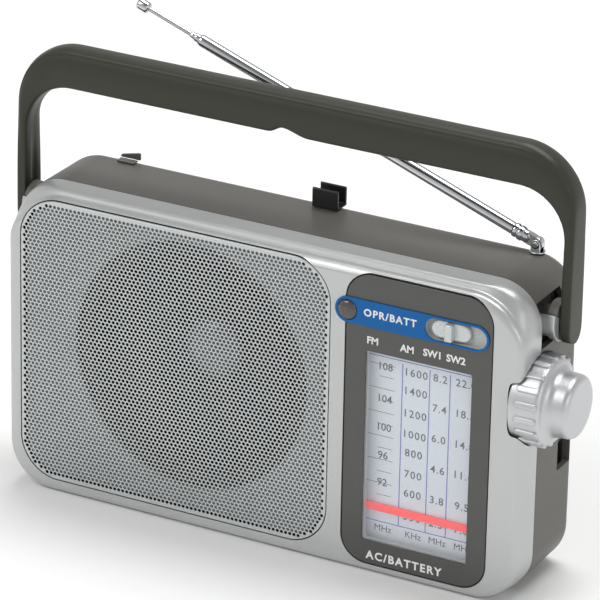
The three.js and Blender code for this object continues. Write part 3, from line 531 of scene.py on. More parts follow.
# Depth behind the front face, and inset, from the parting line forward: at the top and at the sides.
TOP_EDGE = [(14.85, 0.0), (14.0, 0.05), (11.0, 0.3), (8.2, 0.62), (7.0, 0.95), (6.2, 1.5), (5.5, 2.2),
            (4.8, 2.72), (4.1, 2.86), (3.3, 2.9), (2.4, 3.05), (1.5, 3.5), (0.75, 4.3), (0.2, 5.3),
            (0.0, 6.3)]
SIDE_EDGE = [(14.85, 0.0), (14.0, 0.0), (11.0, 0.02), (8.0, 0.05), (5.4, 0.12), (4.2, 0.2), (3.2, 0.3),
             (2.4, 0.45), (1.75, 0.66), (1.2, 0.95), (0.78, 1.3), (0.45, 1.72), (0.2, 2.3), (0.06, 3.0),
             (0.0, 3.8)]


def front_shell():
    """The silver half, whose top edge rolls over further than its sides."""
    rings = []
    for (depth_top, inset_top), (depth_side, inset_side) in zip(TOP_EDGE, SIDE_EDGE):
        grow = smoothstep(12.0, 1.5, depth_side)
        ring = []
        for cx, cz, radius, c, s in cabinet_outline(CORNER + 6 * grow, CORNER + 1.5 * grow):
            upward = smoothstep(0.05, 0.97, s)
            depth = lerp(depth_side, depth_top, upward)
            inset = lerp(inset_side, inset_top, upward)
            ring.append((cx + (radius - inset) * c, FRONT + depth, cz + (radius - inset) * s))
        rings.append(ring)
    return loft("front_shell", rings)


def knob_cavity():
    """The round hollow in the right side that the knob's ribbed ring turns in."""
    profile = [(108.6, 15.6), (108.7, 16.6), (109.0, 17.5), (109.5, 18.2), (110.2, 18.6), (111.2, 18.8),
               (130, 18.8)]
    return turned("cut", profile, (0, KNOB[1], KNOB[2]), (1, 0, 0), 96)


def pivot_pocket(side):
    low = [side * 108.5, PARTING - 1, PIVOT[2] - 9.8]
    high = [side * 118, PIVOT[1] + 9.3, PIVOT[2] + 8.6]
    low[0], high[0] = sorted((low[0], high[0]))
    return block("cut", low, high)


def slot_outline(grow=0.0):
    return round_rect(SLOT["x"], STRIP_Z, SLOT["w"] + grow, SLOT["h"] + grow, 9, 12)


def inlay_pocket(place, corner):
    """Cuts the pocket for the grille or the panel, a little larger than the piece."""
    outline = round_rect(place["x"], place["z"], place["w"] + 0.9, place["h"] + 0.9, corner + 0.4, 16)
    return prism("cut", outline, FRONT - 2, FRONT + POCKET)


def build_front():
    body = front_shell()

    def inside(extra):
        """The inner skin's inset: the wall, and more of it where the outside rolls over."""
        return lambda s: WALL + extra * smoothstep(0.05, 0.9, s)

    hollow = loft("cut", [cabinet_ring(FRONT + 2.8, inside(4.2), CORNER + 7, CORNER + 2),
                          cabinet_ring(FRONT + 6, inside(2.6), CORNER + 6, CORNER + 1.5),
                          cabinet_ring(FRONT + 9, inside(0.8), CORNER + 3, CORNER + 1),
                          cabinet_ring(PARTING + 2, inside(0))])
    combine(body, [
        hollow,
        inlay_pocket(GRILLE, GRILLE_CORNER),
        inlay_pocket(BEZEL, BEZEL_CORNER),
        bore(SPEAKER_OPENING, 8, (SPEAKER[0], FRONT - 0.5, SPEAKER[2]), sides=96),
        prism("cut", round_rect(WINDOW["x"], WINDOW["z"], WINDOW["w"] - 1, WINDOW["h"] - 1, 1.5, 4),
              FRONT, FRONT + 6),
        prism("cut", slot_outline(0.2), FRONT, FRONT + 6),
        bore(LAMP_HOLE + 0.05, 8, (LAMP_X, FRONT - 0.5, STRIP_Z)),
        knob_cavity(),
    ])
    soften(body, 0.25, 2, 35)
    stand_in(body, "front_cabinet", SILVER, "cabinet")


def build_rear():
    edge = [(PARTING, 0.35), (PARTING + 0.12, 0.12), (PARTING + 0.4, 0.0), (PARTING + 16, 0.0),
            (BACK - 6.2, 0.03)]
    for i in range(1, 9):
        a = math.pi / 2 * i / 8
        edge.append((BACK - 6 + 6 * math.sin(a), 5.2 * (1 - math.cos(a)) + 0.05))
    edge.append((BACK, 7.5))
    body = loft("rear_shell", [cabinet_ring(y, d) for y, d in edge])
    hollow = [(PARTING - 2, WALL), (BACK - 7, WALL), (BACK - 4, WALL + 1.2), (BACK - 2.4, WALL + 4)]
    combine(body, [loft("cut", [cabinet_ring(y, d) for y, d in hollow])])
    # floors of the two pivot pockets, and the cup behind the knob
    solids = []
    for side in (-1, 1):
        x0, x1 = sorted((side * 105.6, side * 109.6))
        low, high = (x0, PARTING + 0.05, PIVOT[2] - 11.2), (x1, PIVOT[1] + 12, PIVOT[2] + 11.2)
        solids.append(block("add", low, high))
    cup = turned("add", [(KNOB[0] - 7.9, 19.9), (KNOB[0] - 0.4, 19.9)], (0, KNOB[1], KNOB[2]), (1, 0, 0), 96)
    combine(cup, [block("keep", (90, PARTING + 0.02, 40), (125, 30, 120))], "INTERSECT")
    solids.append(cup)
    combine(body, solids, "UNION")
    wells = []
    for i in range(1, 5):
        x, _, z = centre(f"cabinet_screw_{i}")
        post = turned("add", [(0, 4.6), (BACK - PARTING - 1.2, 4.6)], (x, PARTING + 0.1, z), (0, 1, 0), 32)
        combine(body, [post], "UNION")
        wells.append(bore(3.5, 12, (x, 17, z), sides=32))
        wells.append(bore(1.6, 30, (x, PARTING - 1, z), sides=24))
    door = round_rect((DOOR_LOW[0] + DOOR_HIGH[0]) / 2, (DOOR_LOW[2] + DOOR_HIGH[2]) / 2,
                      DOOR_HIGH[0] - DOOR_LOW[0] + 0.7, DOOR_HIGH[2] - DOOR_LOW[2] + 0.7, 2.7, 6)
    tray_low, tray_high = mm_box("battery_tray")
    tray_wall = 1.6
    bay_low = (tray_low[0] + tray_wall, 15, tray_low[2] + tray_wall)
    bay_high = (tray_high[0] - tray_wall, BACK + 2, tray_high[2] - tray_wall)
    combine(body, wells + [
        pivot_pocket(-1), pivot_pocket(1), knob_cavity(),
        block("cut", (107, 8.8, WHEEL[2] - 19), (118, 20.8, WHEEL[2] + 19)),
        prism("cut", door, BACK - 1.9, BACK + 2),
        block("cut", bay_low, bay_high),
        prism("cut", round_rect(INLET[0], INLET[2], 19.6, 11.6, 1.2, 4), BACK - 6, BACK + 2),
        bore(4.3, 8, (JACK[0], BACK - 5, JACK[2])),
        bore(5.0, 8, (ELBOW[0], ELBOW[1], HEIGHT - 0.05), (0, 0, 1)),
        bore(2.9, 12, (ELBOW[0], ELBOW[1], HEIGHT - 8), (0, 0, 1), 32),
    ])
    soften(body, 0.25, 2, 35)
    stand_in(body, "rear_cabinet", DARK, "cabinet")


# ---- grille

PITCH = 1.87  # distance between the holes of a row
ROW = PITCH * math.sqrt(3) / 2  # distance between the rows
HOLE = 0.76  # radius of a hole
SHEET = 0.22


def inside_round_rect(x, z, r, w, h):
    """Signed distance from a point to a rounded rectangle about the origin, negative inside."""
    dx = max(abs(x) - (w / 2 - r), 0.0)
    dz = max(abs(z) - (h / 2 - r), 0.0)
    if dx == 0 and dz == 0:
        return max(abs(x) - w / 2, abs(z) - h / 2)
    return math.hypot(dx, dz) - r


def grille_cells():
    """Centres (x, z) of the staggered holes, about the middle of the grille."""
    width, height = GRILLE["w"], GRILLE["h"]
    cells = []
    rows = int(height / 2 / ROW) + 1
    columns = int(width / 2 / PITCH) + 1
    for j in range(-rows, rows + 1):
        for i in range(-columns, columns + 1):
            x = (i + 0.5 * (j % 2)) * PITCH
            z = j * ROW
            if inside_round_rect(x, z, GRILLE_CORNER, width, height) < -(PITCH * 0.5 + 0.05):
                cells.append((x, z))
    return cells


def perforated_sheet(cells, front):
    """Each hole in its own brick-shaped cell, and the open edges round all the cells."""
    back = front + SHEET
    cx, cz = GRILLE["x"], GRILLE["z"]
    verts, faces, index, edges = [], [], {}, {}

    def vert(x, y, z):
        key = (round(x, 3), round(y, 3), round(z, 3))
        if key not in index:
            index[key] = len(verts)
            verts.append((x, y, z))
        return index[key]

    for x, z in cells:
        rim, mouth, throat = [], [], []
        for dx, dz in [(1, 0), (1, 1), (0, 1), (-1, 1), (-1, 0), (-1, -1), (0, -1), (1, -1)]:
            rim.append(vert(cx + x + dx * PITCH / 2, front, cz + z + dz * ROW / 2))
        for k in range(8):
            a = k * math.pi / 4
            ux, uz = math.cos(a), math.sin(a)
            mouth.append(vert(cx + x + HOLE * ux, front, cz + z + HOLE * uz))
            throat.append(vert(cx + x + HOLE * ux, back, cz + z + HOLE * uz))
        for k in range(8):
            m = (k + 1) % 8
            faces.append((rim[k], rim[m], mouth[m], mouth[k]))
            faces.append((mouth[k], mouth[m], throat[m], throat[k]))
            edge = (rim[k], rim[m])
            if edge[::-1] in edges:
                del edges[edge[::-1]]
            else:
                edges[edge] = True
    open_edges = [tuple((verts[end][0], verts[end][2]) for end in edge) for edge in edges]
    return new_object("grille_holes", verts, faces), open_edges


def plain_border(cells, open_edges, front):
    """The flat metal between the outermost cells and the rolled rim."""
    cx, cz = GRILLE["x"], GRILLE["z"]
    width, height, corner = GRILLE["w"] - 0.5, GRILLE["h"] - 0.5, GRILLE_CORNER - 0.25
    points, pairs, seen = [], [], {}

    def point(v):
        key = (round(v[0], 3), round(v[1], 3))
        if key not in seen:
            seen[key] = len(points)
            points.append(Vector(v))
        return seen[key]

    for a, b in open_edges:
        pairs.append((point(a), point(b)))
    outer = [point(v) for v in round_rect(cx, cz, width, height, corner, 16)]
    pairs += [(outer[i], outer[(i + 1) % len(outer)]) for i in range(len(outer))]
    flat, _, triangles, _, _, _ = delaunay_2d_cdt(points, pairs, [], 0, 1e-4)
    taken = set((round(cx + x, 2), round(cz + z, 2)) for x, z in cells)
    faces = []
    for triangle in triangles:
        x = sum(flat[i].x for i in triangle) / 3 - cx
        z = sum(flat[i].y for i in triangle) / 3 - cz
        if inside_round_rect(x, z, corner, width, height) > 0:
            continue
        j = round(z / ROW)
        i = round(x / PITCH - 0.5 * (j % 2))
        cell = (round(cx + (i + 0.5 * (j % 2)) * PITCH, 2), round(cz + j * ROW, 2))
        if cell not in taken:
            faces.append(tuple(triangle))
    return new_object("grille_border", [(v.x, front, v.y) for v in flat], faces)


def build_grille():
    """A thin sheet of staggered round holes with a plain border and a rolled rim."""
    low, high = mm_box("speaker_grille")
    front = low[1]
    cells = grille_cells()
    sheet, open_edges = perforated_sheet(cells, front)
    border = plain_border(cells, open_edges, front)
    steps = [(0.25, 0.0), (0.12, 0.03), (0.03, 0.12), (0.0, 0.3), (0.0, high[1] - front)]
    rolled = loft("grille_rim", stepped(GRILLE, GRILLE_CORNER, steps, front), caps=(False, False))
    grille = join("speaker_grille_sheet", [sheet, border, rolled])
    with editing(grille.data) as bm:
        bmesh.ops.remove_doubles(bm, verts=bm.verts, dist=2e-6)
        bmesh.ops.recalc_face_normals(bm, faces=bm.faces)
        if sum(f.normal.y * f.calc_area() for f in bm.faces) > 0:
            bmesh.ops.reverse_faces(bm, faces=bm.faces)
    soften(grille, 0, smooth=35)
    stand_in(grille, "speaker_grille", STEEL_MESH, "cabinet")


def flat_ring(name, outer, inner, y0, y1):
    """A flat ring between two outlines with equal numbers of points."""
    ring = loft(name, [[(x, y, z) for x, z in outline] for outline, y in
                       ((outer, y1), (outer, y0), (inner, y0), (inner, y1))], (False, False), True)
    soften(ring, 0, smooth=30)
    return ring


def build_shade_sheets():
    """Black sheets under the grille's edge and round the dial panel, painting the shade in those gaps, and a
    grey sheet on the baffle painted in the shade of the silver behind the grille.
    """
    y = mm_box("speaker_grille")[1][1]
    x, z = GRILLE["x"], GRILLE["z"]
    width, height, corner = GRILLE["w"] - 4.4, GRILLE["h"] - 4.4, 14.8  # inner edge of the black painted-shade sheet
    edge = round_rect(x, z, GRILLE["w"] + 0.8, GRILLE["h"] + 0.8, GRILLE_CORNER + 0.4, 16)
    inner = round_rect(x, z, width, height, corner, 16)
    # painted shade: a black sheet for the shade in the recess under the grille's edge
    paint(flat_ring("grille_edge_shade", edge, inner, y - 0.15, y + 0.25), GAP_SHADE, "cabinet")
    # the grey painted-shade sheet's two outlines, matched by their direction from the loudspeaker
    square, circle = [], []
    for i in range(120):
        ux, uz = math.cos(math.pi * i / 60), math.sin(math.pi * i / 60)
        near, far = SPEAKER_OPENING, 90.0
        while far - near > 0.01:
            mid = (near + far) / 2
            dx, dz = SPEAKER[0] + mid * ux - x, SPEAKER[2] + mid * uz - z
            within = inside_round_rect(dx, dz, corner, width, height) < 0
            near, far = (mid, far) if within else (near, mid)
        square.append((SPEAKER[0] + near * ux, SPEAKER[2] + near * uz))
        circle.append((SPEAKER[0] + SPEAKER_OPENING * ux, SPEAKER[2] + SPEAKER_OPENING * uz))
    # painted shade: grey sheet for the shaded silver baffle between the speaker opening and the grille's edge
    paint(flat_ring("baffle_painted_shade", square, circle, y + 0.02, y + 0.25), BAFFLE_SHADE, "cabinet")
    outer = round_rect(BEZEL["x"], BEZEL["z"], BEZEL["w"] + 0.86, BEZEL["h"] + 0.86, BEZEL_CORNER + 0.4, 16)
    edge = round_rect(BEZEL["x"], BEZEL["z"], BEZEL["w"] + 0.06, BEZEL["h"] + 0.06, BEZEL_CORNER, 16)
    # painted shade: a black sheet for the shade in the gap round the dial panel
    paint(flat_ring("panel_edge_shade", outer, edge, FRONT + 0.3, FRONT + 1.35), GAP_SHADE, "cabinet")


def build_speaker():
    """The paper cone with its rolled surround, and the dust cap."""
    y0 = mm_box("speaker_basket")[0][1]
    profile = [(0.9, 46.5), (0.5, 45.6)]
    for i in range(13):
        a = math.pi * i / 12
        profile.append((0.6 - 0.9 * math.sin(a), 43.4 + 1.7 * math.cos(a)))
    for i in range(1, 13):
        t = i / 12
        profile.append((1.4 + 17.0 * t ** 0.86, 41.2 - 29.4 * t))
    profile += [(19.2, 11.0), (22.4, 10.8), (22.4, 11.6), (19.6, 12.6), (3.0, 41.4), (1.5, 45.0), (1.4, 46.5)]
    cone = turned("speaker_paper_cone", profile, (SPEAKER[0], y0, SPEAKER[2]), (0, 1, 0), 96, (False, False))
    soften(cone, 0, smooth=50)
    stand_in(cone, "speaker_cone", SHADED_PAPER, "cabinet")
    low, high = mm_box("speaker_dust_cap")
    depth = high[1] - low[1] - 1
    radius, base = 13.2, low[1] + depth + 0.6
    bulge = 6.2
    dome = [(base + 0.6, radius), (base, radius)]
    for i in range(1, 13):
        a = math.pi / 2 * i / 12
        dome.append((base - bulge * math.sin(a), radius * math.cos(a)))
    cap = turned("speaker_dome", dome, (SPEAKER[0], 0, SPEAKER[2]), (0, 1, 0), 64, (True, False))
    soften(cap, 0, smooth=50)
    stand_in(cap, "speaker_dust_cap", DOME, "cabinet")


# ---- dial panel


def build_bezel():
    low, high = mm_box("dial_bezel")
    steps = [(0.45, 0.0), (0.2, 0.06), (0.05, 0.22), (0.0, 0.5), (0.0, high[1] - low[1])]
    panel = loft("dial_panel", stepped(BEZEL, BEZEL_CORNER, steps, low[1]))
    window = round_rect(WINDOW["x"], WINDOW["z"], WINDOW["w"], WINDOW["h"], 0.9, 4)
    combine(panel, [
        prism("cut", window, low[1] - 1, high[1] + 1),
        prism("cut", slot_outline(), low[1] - 1, high[1] + 1),
        bore(LAMP_HOLE, 4, (LAMP_X, low[1] - 1, STRIP_Z)),
    ])
    soften(panel, 0.14, 2, 40)
    stand_in(panel, "dial_bezel", PANEL, "cabinet")


def build_strip():
    low, high = mm_box("accent_strip")
    x = (low[0] + high[0]) / 2
    face = low[1]
    outline = round_rect(x, STRIP_Z, high[0] - low[0], STRIP_H, STRIP_H / 2, 14)
    strip = prism("blue_strip", outline, face, FRONT + 0.02)
    combine(strip, [
        prism("cut", slot_outline(), face - 1, FRONT + 1),
        bore(LAMP_HOLE, 4, (LAMP_X, face - 1, STRIP_Z)),
    ])
    soften(strip, 0.1, 2, 40)
    stand_in(strip, "accent_strip", BLUE, "cabinet")


def build_lamp():
    low, high = mm_box("indicator_lens")
    radius = (high[0] - low[0]) / 2
    dome = []
    for i in range(11):
        a = math.pi / 2 * (1 - i / 10)
        dome.append((low[1] + 1.9 * (1 - math.sin(a)), radius * math.cos(a)))
    dome += [(FRONT + 0.2, radius), (high[1], radius)]
    lens = turned("lamp_dome", dome, (LAMP_X, 0, STRIP_Z), (0, 1, 0), 64, (False, True))
    soften(lens, 0, smooth=50)
    stand_in(lens, "indicator_lens", SMOKE, "cabinet")


def build_lens():
    low, high = mm_box("dial_lens")
    width, height = WINDOW["w"] - 0.5, WINDOW["h"] - 0.5
    rings = []
    for inset, depth in [(0.15, 0.3), (0.02, 0.36), (0.0, 0.5), (0.0, high[1] - low[1])]:
        outline = round_rect(WINDOW["x"], WINDOW["z"], width - 2 * inset, height - 2 * inset, 0.8, 4)
        rings.append([(x, low[1] + depth, z) for x, z in outline])
    lens = loft("dial_window", rings)
    soften(lens, 0, smooth=30)
    stand_in(lens, "dial_lens", CLEAR, "cabinet")


# ---- lettering and scale lines


def text(string, x, z, size, y, bold=0.0, wide=1.0):
    """A line of lettering as a thin raised mesh, its middle at x and z."""
    curve = bpy.data.curves.new("text", "FONT")
    curve.body = string
    curve.size = size * MM
    curve.align_x = "CENTER"
    curve.align_y = "CENTER"
    curve.offset = bold * MM
    curve.extrude = 0.03 * MM
    curve.resolution_u = 3
    curve.space_character = wide
    obj = added("text", curve)
    place = Matrix.Translation((x * MM, y * MM, z * MM))
    obj.matrix_world = place @ Matrix.Rotation(math.pi / 2, 4, "X")
    bpy.context.view_layer.update()
    graph = bpy.context.evaluated_depsgraph_get()
    mesh = bpy.data.meshes.new_from_object(obj.evaluated_get(graph))
    mesh.transform(obj.matrix_world)
    bpy.data.objects.remove(obj)
    return added("text", mesh)


def line(x0, x1, z0, z1, y):
    """A thin raised line up to the plane y."""
    return block("line", (x0, y - 0.05, z0), (x1, y, z1))


# Each band: middle of its column, unit, letter spacing, and a height for each figure.
SCALE_COLUMNS = [
    (53.2, "MHz", 1.0, [("108", 87.1), ("104", 73.4), ("100", 61.3), ("96", 49.2), ("92", 37.6),
                        ("88", 26.6)]),
    (66.5, "KHz", 1.2, [("1600", 87.0), ("1400", 79.1), ("1200", 69.6), ("1000", 60.8), ("800", 52.8),
                        ("700", 43.7), ("600", 35.4), ("530", 25.4)]),
    (77.1, "MHz", 1.16, [("8.2", 87.3), ("7.4", 74.5), ("6.0", 61.6), ("4.6", 48.5), ("3.8", 35.3),
                         ("2.3", 25.2)]),
    (88.1, "MHz", 1.16, [("22.0", 87.5), ("18.5", 74.6), ("14.8", 61.5), ("11.4", 48.6), ("9.5", 35.3),
                         ("7.0", 25.2)]),
]
RULE_X = (60.8, 72.6, 81.4)  # the upright lines between the bands
SCALE_TOP, SCALE_FOOT = 91.3, 20.6
TICKS, FIRST_TICK, TICK_STEP = 13, 87.9, 5.06


def build_lettering():
    plate_front = mm_box("dial_scale")[0][1]
    ink, blue = [], []
    for x, unit, wide, figures in SCALE_COLUMNS:
        for value, z in figures:
            ink.append(text(value, x, z, 4.5, plate_front - 0.03, 0.04, wide=wide))
        ink.append(text(unit, x + 0.8, 17.7, 4.0, plate_front - 0.03))
    for i in range(TICKS):
        left, right = (SCALE_LEFT, 57.6) if i % 2 == 0 else (50.8, 57.2)
        z = FIRST_TICK - TICK_STEP * i
        ink.append(line(left, right, z - 0.1, z + 0.1, plate_front))
    for x in RULE_X:
        blue.append(line(x - 0.2, x + 0.2, SCALE_FOOT, SCALE_TOP - 1.2, plate_front))
    for z in (SCALE_TOP, SCALE_FOOT):
        blue.append(line(SCALE_LEFT, SCALE_RIGHT, z - 0.18, z + 0.18, plate_front))
    marks = join("scale_figures", ink)
    paint(marks, SCALE_INK, "cabinet")
    rules = join("scale_rules", blue)
    paint(rules, SCALE_BLUE, "cabinet")
    face = mm_box("dial_bezel")[0][1]
    labels = [text("FM", 50.3, 99.5, 4.1, face, 0.12), text("AM", 65.3, 99.4, 4.1, face, 0.12),
              text("SW1", 76.2, 99.8, 4.1, face, 0.12), text("SW2", 86.2, 99.7, 4.1, face, 0.12),
              text("AC/BATTERY", 66.4, 7.9, 4.8, face, 0.14, wide=1.24)]
    strip_face = mm_box("accent_strip")[0][1]
    labels.append(text("OPR/BATT", 57.8, STRIP_Z + 0.3, 4.2, strip_face, 0.12, wide=1.22))
    paint(join("panel_lettering", labels), LABEL_WHITE, "cabinet")


def build_pointer():
    low, high = mm_box("dial_pointer")
    mid = (low[2] + high[2]) / 2
    bar = block("bar", (low[0] - 2.2, low[1], mid - 1.65), (high[0] - 4, low[1] + 0.8, mid + 1.65))
    rider = block("rider", (high[0] - 5, low[1] + 0.1, mid - 2.4), (high[0], high[1], mid + 2.4))
    pointer = join("tuning_pointer", [bar, rider])
    soften(pointer, 0.25, 2, 40)
    stand_in(pointer, "dial_pointer", RED, "pointer")


# ---- band switch


def build_slider():
    low, high = mm_box("band_slider")
    x = (low[0] + high[0]) / 2
    w, h = high[0] - low[0], high[2] - low[2]
    face = FRONT + 0.5
    rings = []
    for inset, depth in [(0.9, -0.1), (0.45, 0.02), (0.12, 0.25), (0.0, 0.6), (0.0, 1.5)]:
        outline = round_rect(x, STRIP_Z, w - 2 * inset, h - 2 * inset, 9, 14)
        rings.append([(px, face + depth, pz) for px, pz in outline])
    cap = loft("cap", rings)
    rib_width = 3.3
    rings = []
    for inset, y in [(0.75, low[1]), (0.35, low[1] + 0.12), (0.1, low[1] + 0.4), (0.0, low[1] + 0.9),
                     (0.0, face + 0.8)]:
        outline = round_rect(x, STRIP_Z, rib_width - 2 * inset * 0.8, h + 0.1 - 2 * inset, 0.7, 5)
        rings.append([(px, y, pz) for px, pz in outline])
    rib = loft("rib", rings)
    stem = block("stem", (x - 2, face + 1, STRIP_Z - 1.2), (x + 2, high[1], STRIP_Z + 1.2))
    slider = join("band_slider_cap", [cap, rib, stem])
    soften(slider, 0, smooth=40)
    stand_in(slider, "band_slider", SLIDER_SILVER, "slider")
    # the light recess that the slider runs in
    outline = slot_outline(-0.05)
    bed = loft("slot_bed", [[(px, y, pz) for px, pz in outline] for y in (FRONT + 0.1, FRONT + 2.6)],
               (False, True))
    soften(bed, 0, smooth=40)
    paint(bed, SLOT_GREY, "cabinet")


# ---- tuning knob


def knob_rib(angle, middle):
    """One raised rib along the knob's ring, its middle at x = middle."""
    length, width = 9.6, 2.7
    rings = []
    for inset, lift in [(0.0, -0.6), (0.0, 0.35), (0.12, 0.62), (0.35, 0.82), (0.7, 0.9)]:
        along, across = (length - 2 * inset) / length, (width - 2 * inset * 0.9) / width
        r = KNOB_RING + lift
        ring = []
        for px, pz in round_rect(0, 0, length, width, 1.2, 6):
            a = angle + pz * across / KNOB_RING
            ring.append((middle + px * along, KNOB[1] + r * math.cos(a), KNOB[2] + r * math.sin(a)))
        rings.append(ring)
    return loft("rib", rings, (False, True))


def build_knob():
    low, high = mm_box("tuning_knob")
    base, tip = low[0], high[0]
    ring, grip = KNOB_RING, KNOB_GRIP
    step = SIDE + 7.2  # where the ribbed ring ends
    profile = [(base, ring - 1.2), (base + 0.15, ring - 0.6), (base + 0.5, ring - 0.15), (base + 0.9, ring),
               (step - 2.2, ring), (step - 1.2, ring - 0.12), (step - 0.5, ring - 0.42), (step, ring - 0.9),
               (step + 0.35, ring - 1.5)]
    for i in range(1, 11):
        t = i / 10
        a = math.pi / 2 * t
        x = step + 0.35 + 4.2 * (1 - math.cos(a)) * 0.9 + 0.3 * t
        profile.append((x, ring - 1.5 - (ring - 1.5 - grip) * math.sin(a)))
    profile += [(tip - 3.0, grip - 0.15), (tip - 2.0, grip - 0.3), (tip - 1.1, grip - 0.75),
                (tip - 0.45, grip - 1.5), (tip - 0.12, grip - 2.5), (tip, grip - 3.8), (tip, 0.0)]
    body = turned("knob", profile, (0, KNOB[1], KNOB[2]), (1, 0, 0), 128, (True, False))
    count = 18
    ribs = [knob_rib(2 * math.pi * (k + 0.35) / count, base + 7.7) for k in range(count)]
    knob = join("knob_body", [body] + ribs)
    soften(knob, 0, smooth=42)
    stand_in(knob, "tuning_knob", KNOB_SILVER, "tuning")


# ---- handle


def handle_path():
    """Pairs of inner and outer points (x, z) from the foot of the right arm round to the left one."""
    outer, low, top = HANDLE_HIGH[0], HANDLE_LOW[2], HANDLE_HIGH[2]
    inner = outer - ARM
    under = top - BAR
    inner_r, outer_r = 20.0, 25.0
    edge_in, edge_out = inner - inner_r, outer - outer_r
    half = []
    for i in range(9):
        a = math.pi / 2 * i / 8
        z = low + HANDLE_FOOT * (1 - math.cos(a))
        half.append(((inner, z), (outer, z)))
    for i in range(1, 7):
        t = i / 6
        inner_z = lerp(low + HANDLE_FOOT, under - inner_r, t)
        outer_z = lerp(low + HANDLE_FOOT, top - outer_r, t)
        half.append(((inner, inner_z), (outer, outer_z)))
    for i in range(1, 25):
        a = math.pi / 2 * i / 24
        c, s = math.cos(a), math.sin(a)
        half.append(((edge_in + inner_r * c, under - inner_r + inner_r * s),
                     (edge_out + outer_r * c, top - outer_r + outer_r * s)))
    steps = 96
    bar = []
    for i in range(1, steps):
        t = i / steps
        bar.append(((lerp(edge_in, -edge_in, t), under), (lerp(edge_out, -edge_out, t), top)))
    other = [((-a, b), (-c, d)) for (a, b), (c, d) in reversed(half)]
    return half + bar + other


def handle_sections():
    """Points (mm from the inner side, y) round the section of an arm and of the bar, equal in number."""
    y0, y1 = HANDLE_LOW[1], HANDLE_HIGH[1]
    mid = (y0 + y1) / 2
    arm = [
        (0.0, mid - 1.9), (0.0, mid - 3.4), (0.0, y0 + 1.0), (0.1, y0 + 0.4), (0.4, y0 + 0.1), (0.8, y0),
        (1.4, y0), (2.0, y0), (2.6, y0), (3.0, y0), (3.3, y0), (3.5, y0), (3.75, y0 + 0.06),
        (4.05, y0 + 0.22), (4.25, y0 + 0.5), (4.3, y0 + 0.9), (4.3, mid - 2), (4.3, mid + 2),
        (4.3, y1 - 1.8), (4.2, y1 - 1.0), (3.9, y1 - 0.4), (3.4, y1 - 0.1), (2.8, y1), (1.6, y1),
        (0.8, y1 - 0.05), (0.3, y1 - 0.3), (0.0, y1 - 0.9), (0.0, mid + 3.4), (0.0, mid + 1.9),
        (0.45, mid + 1.2), (0.45, mid - 1.2),
    ]
    bar = [
        (0.0, mid - 1.9), (0.1, mid - 3.8), (0.6, y0 + 1.3), (1.4, y0 + 0.7), (2.8, y0 + 0.4),
        (4.8, y0 + 0.15), (7.2, y0), (9.6, y0 + 0.05), (11.8, y0 + 0.3), (13.4, y0 + 0.75),
        (14.3, y0 + 1.2), (14.75, y0 + 1.42), (15.1, y0 + 1.3), (15.6, y0 + 1.5), (16.3, y0 + 2.2),
        (16.9, y0 + 3.5), (17.2, mid - 1.6), (17.2, mid + 1.4), (16.9, y1 - 3.0), (16.2, y1 - 1.6),
        (15.2, y1 - 0.7), (13.8, y1 - 0.2), (11.5, y1), (7.0, y1), (3.6, y1 - 0.2), (1.9, y1 - 0.9),
        (0.8, y1 - 2.2), (0.2, mid + 3.4), (0.0, mid + 1.9), (0.0, mid + 0.7), (0.0, mid - 0.7),
    ]
    return arm, bar


def build_handle():
    """One skin along the handle, whose section changes from the arms to the bar."""
    arm, bar = handle_sections()
    mid = (HANDLE_LOW[1] + HANDLE_HIGH[1]) / 2
    low, top = HANDLE_LOW[2], HANDLE_HIGH[2]
    rings = []
    for (ix, iz), (ox, oz) in handle_path():
        # how much of the bar's section this ring has
        kind = smoothstep(5.2, 16.0, math.hypot(ox - ix, oz - iz))
        # the finger notch is only under the bar
        drop = 2.9 * notch(ix) if iz > top - BAR - 1 else 0.0
        # the arms end in a half round
        lift = max(0.0, 1 - (iz - low) / HANDLE_FOOT)
        narrow = math.sqrt(max(1 - lift * lift, 0.0025)) if iz < low + HANDLE_FOOT else 1.0
        ring = []
        for (arm_share, arm_y), (bar_share, bar_y) in zip(arm, bar):
            share = lerp(arm_share / ARM, bar_share / BAR, kind)
            y = mid + (lerp(arm_y, bar_y, kind) - mid) * narrow
            rise = drop * max(0.0, 1 - share * 2.2)
            ring.append((lerp(ix, ox, share), y, lerp(iz, oz, share) + rise))
        rings.append(ring)
    handle = loft("carry_handle", rings)
    sub = handle.modifiers.new("round", "SUBSURF")
    sub.levels = 1
    sub.render_levels = 1
    evaluated(handle)
    soften(handle, 0, smooth=60)
    stand_in(handle, "handle", HANDLE_GREY, "handle")


def notch(x):
    """How deep the finger notch is at x: a short rise on the left and a long run-out on the right."""
    left, crest, right = NOTCH
    if x <= left or x >= right:
        return 0.0
    if x < crest:
        return smoothstep(left, crest, x)
    return 1 - smoothstep(crest, right, x)


# ---- handle pivots


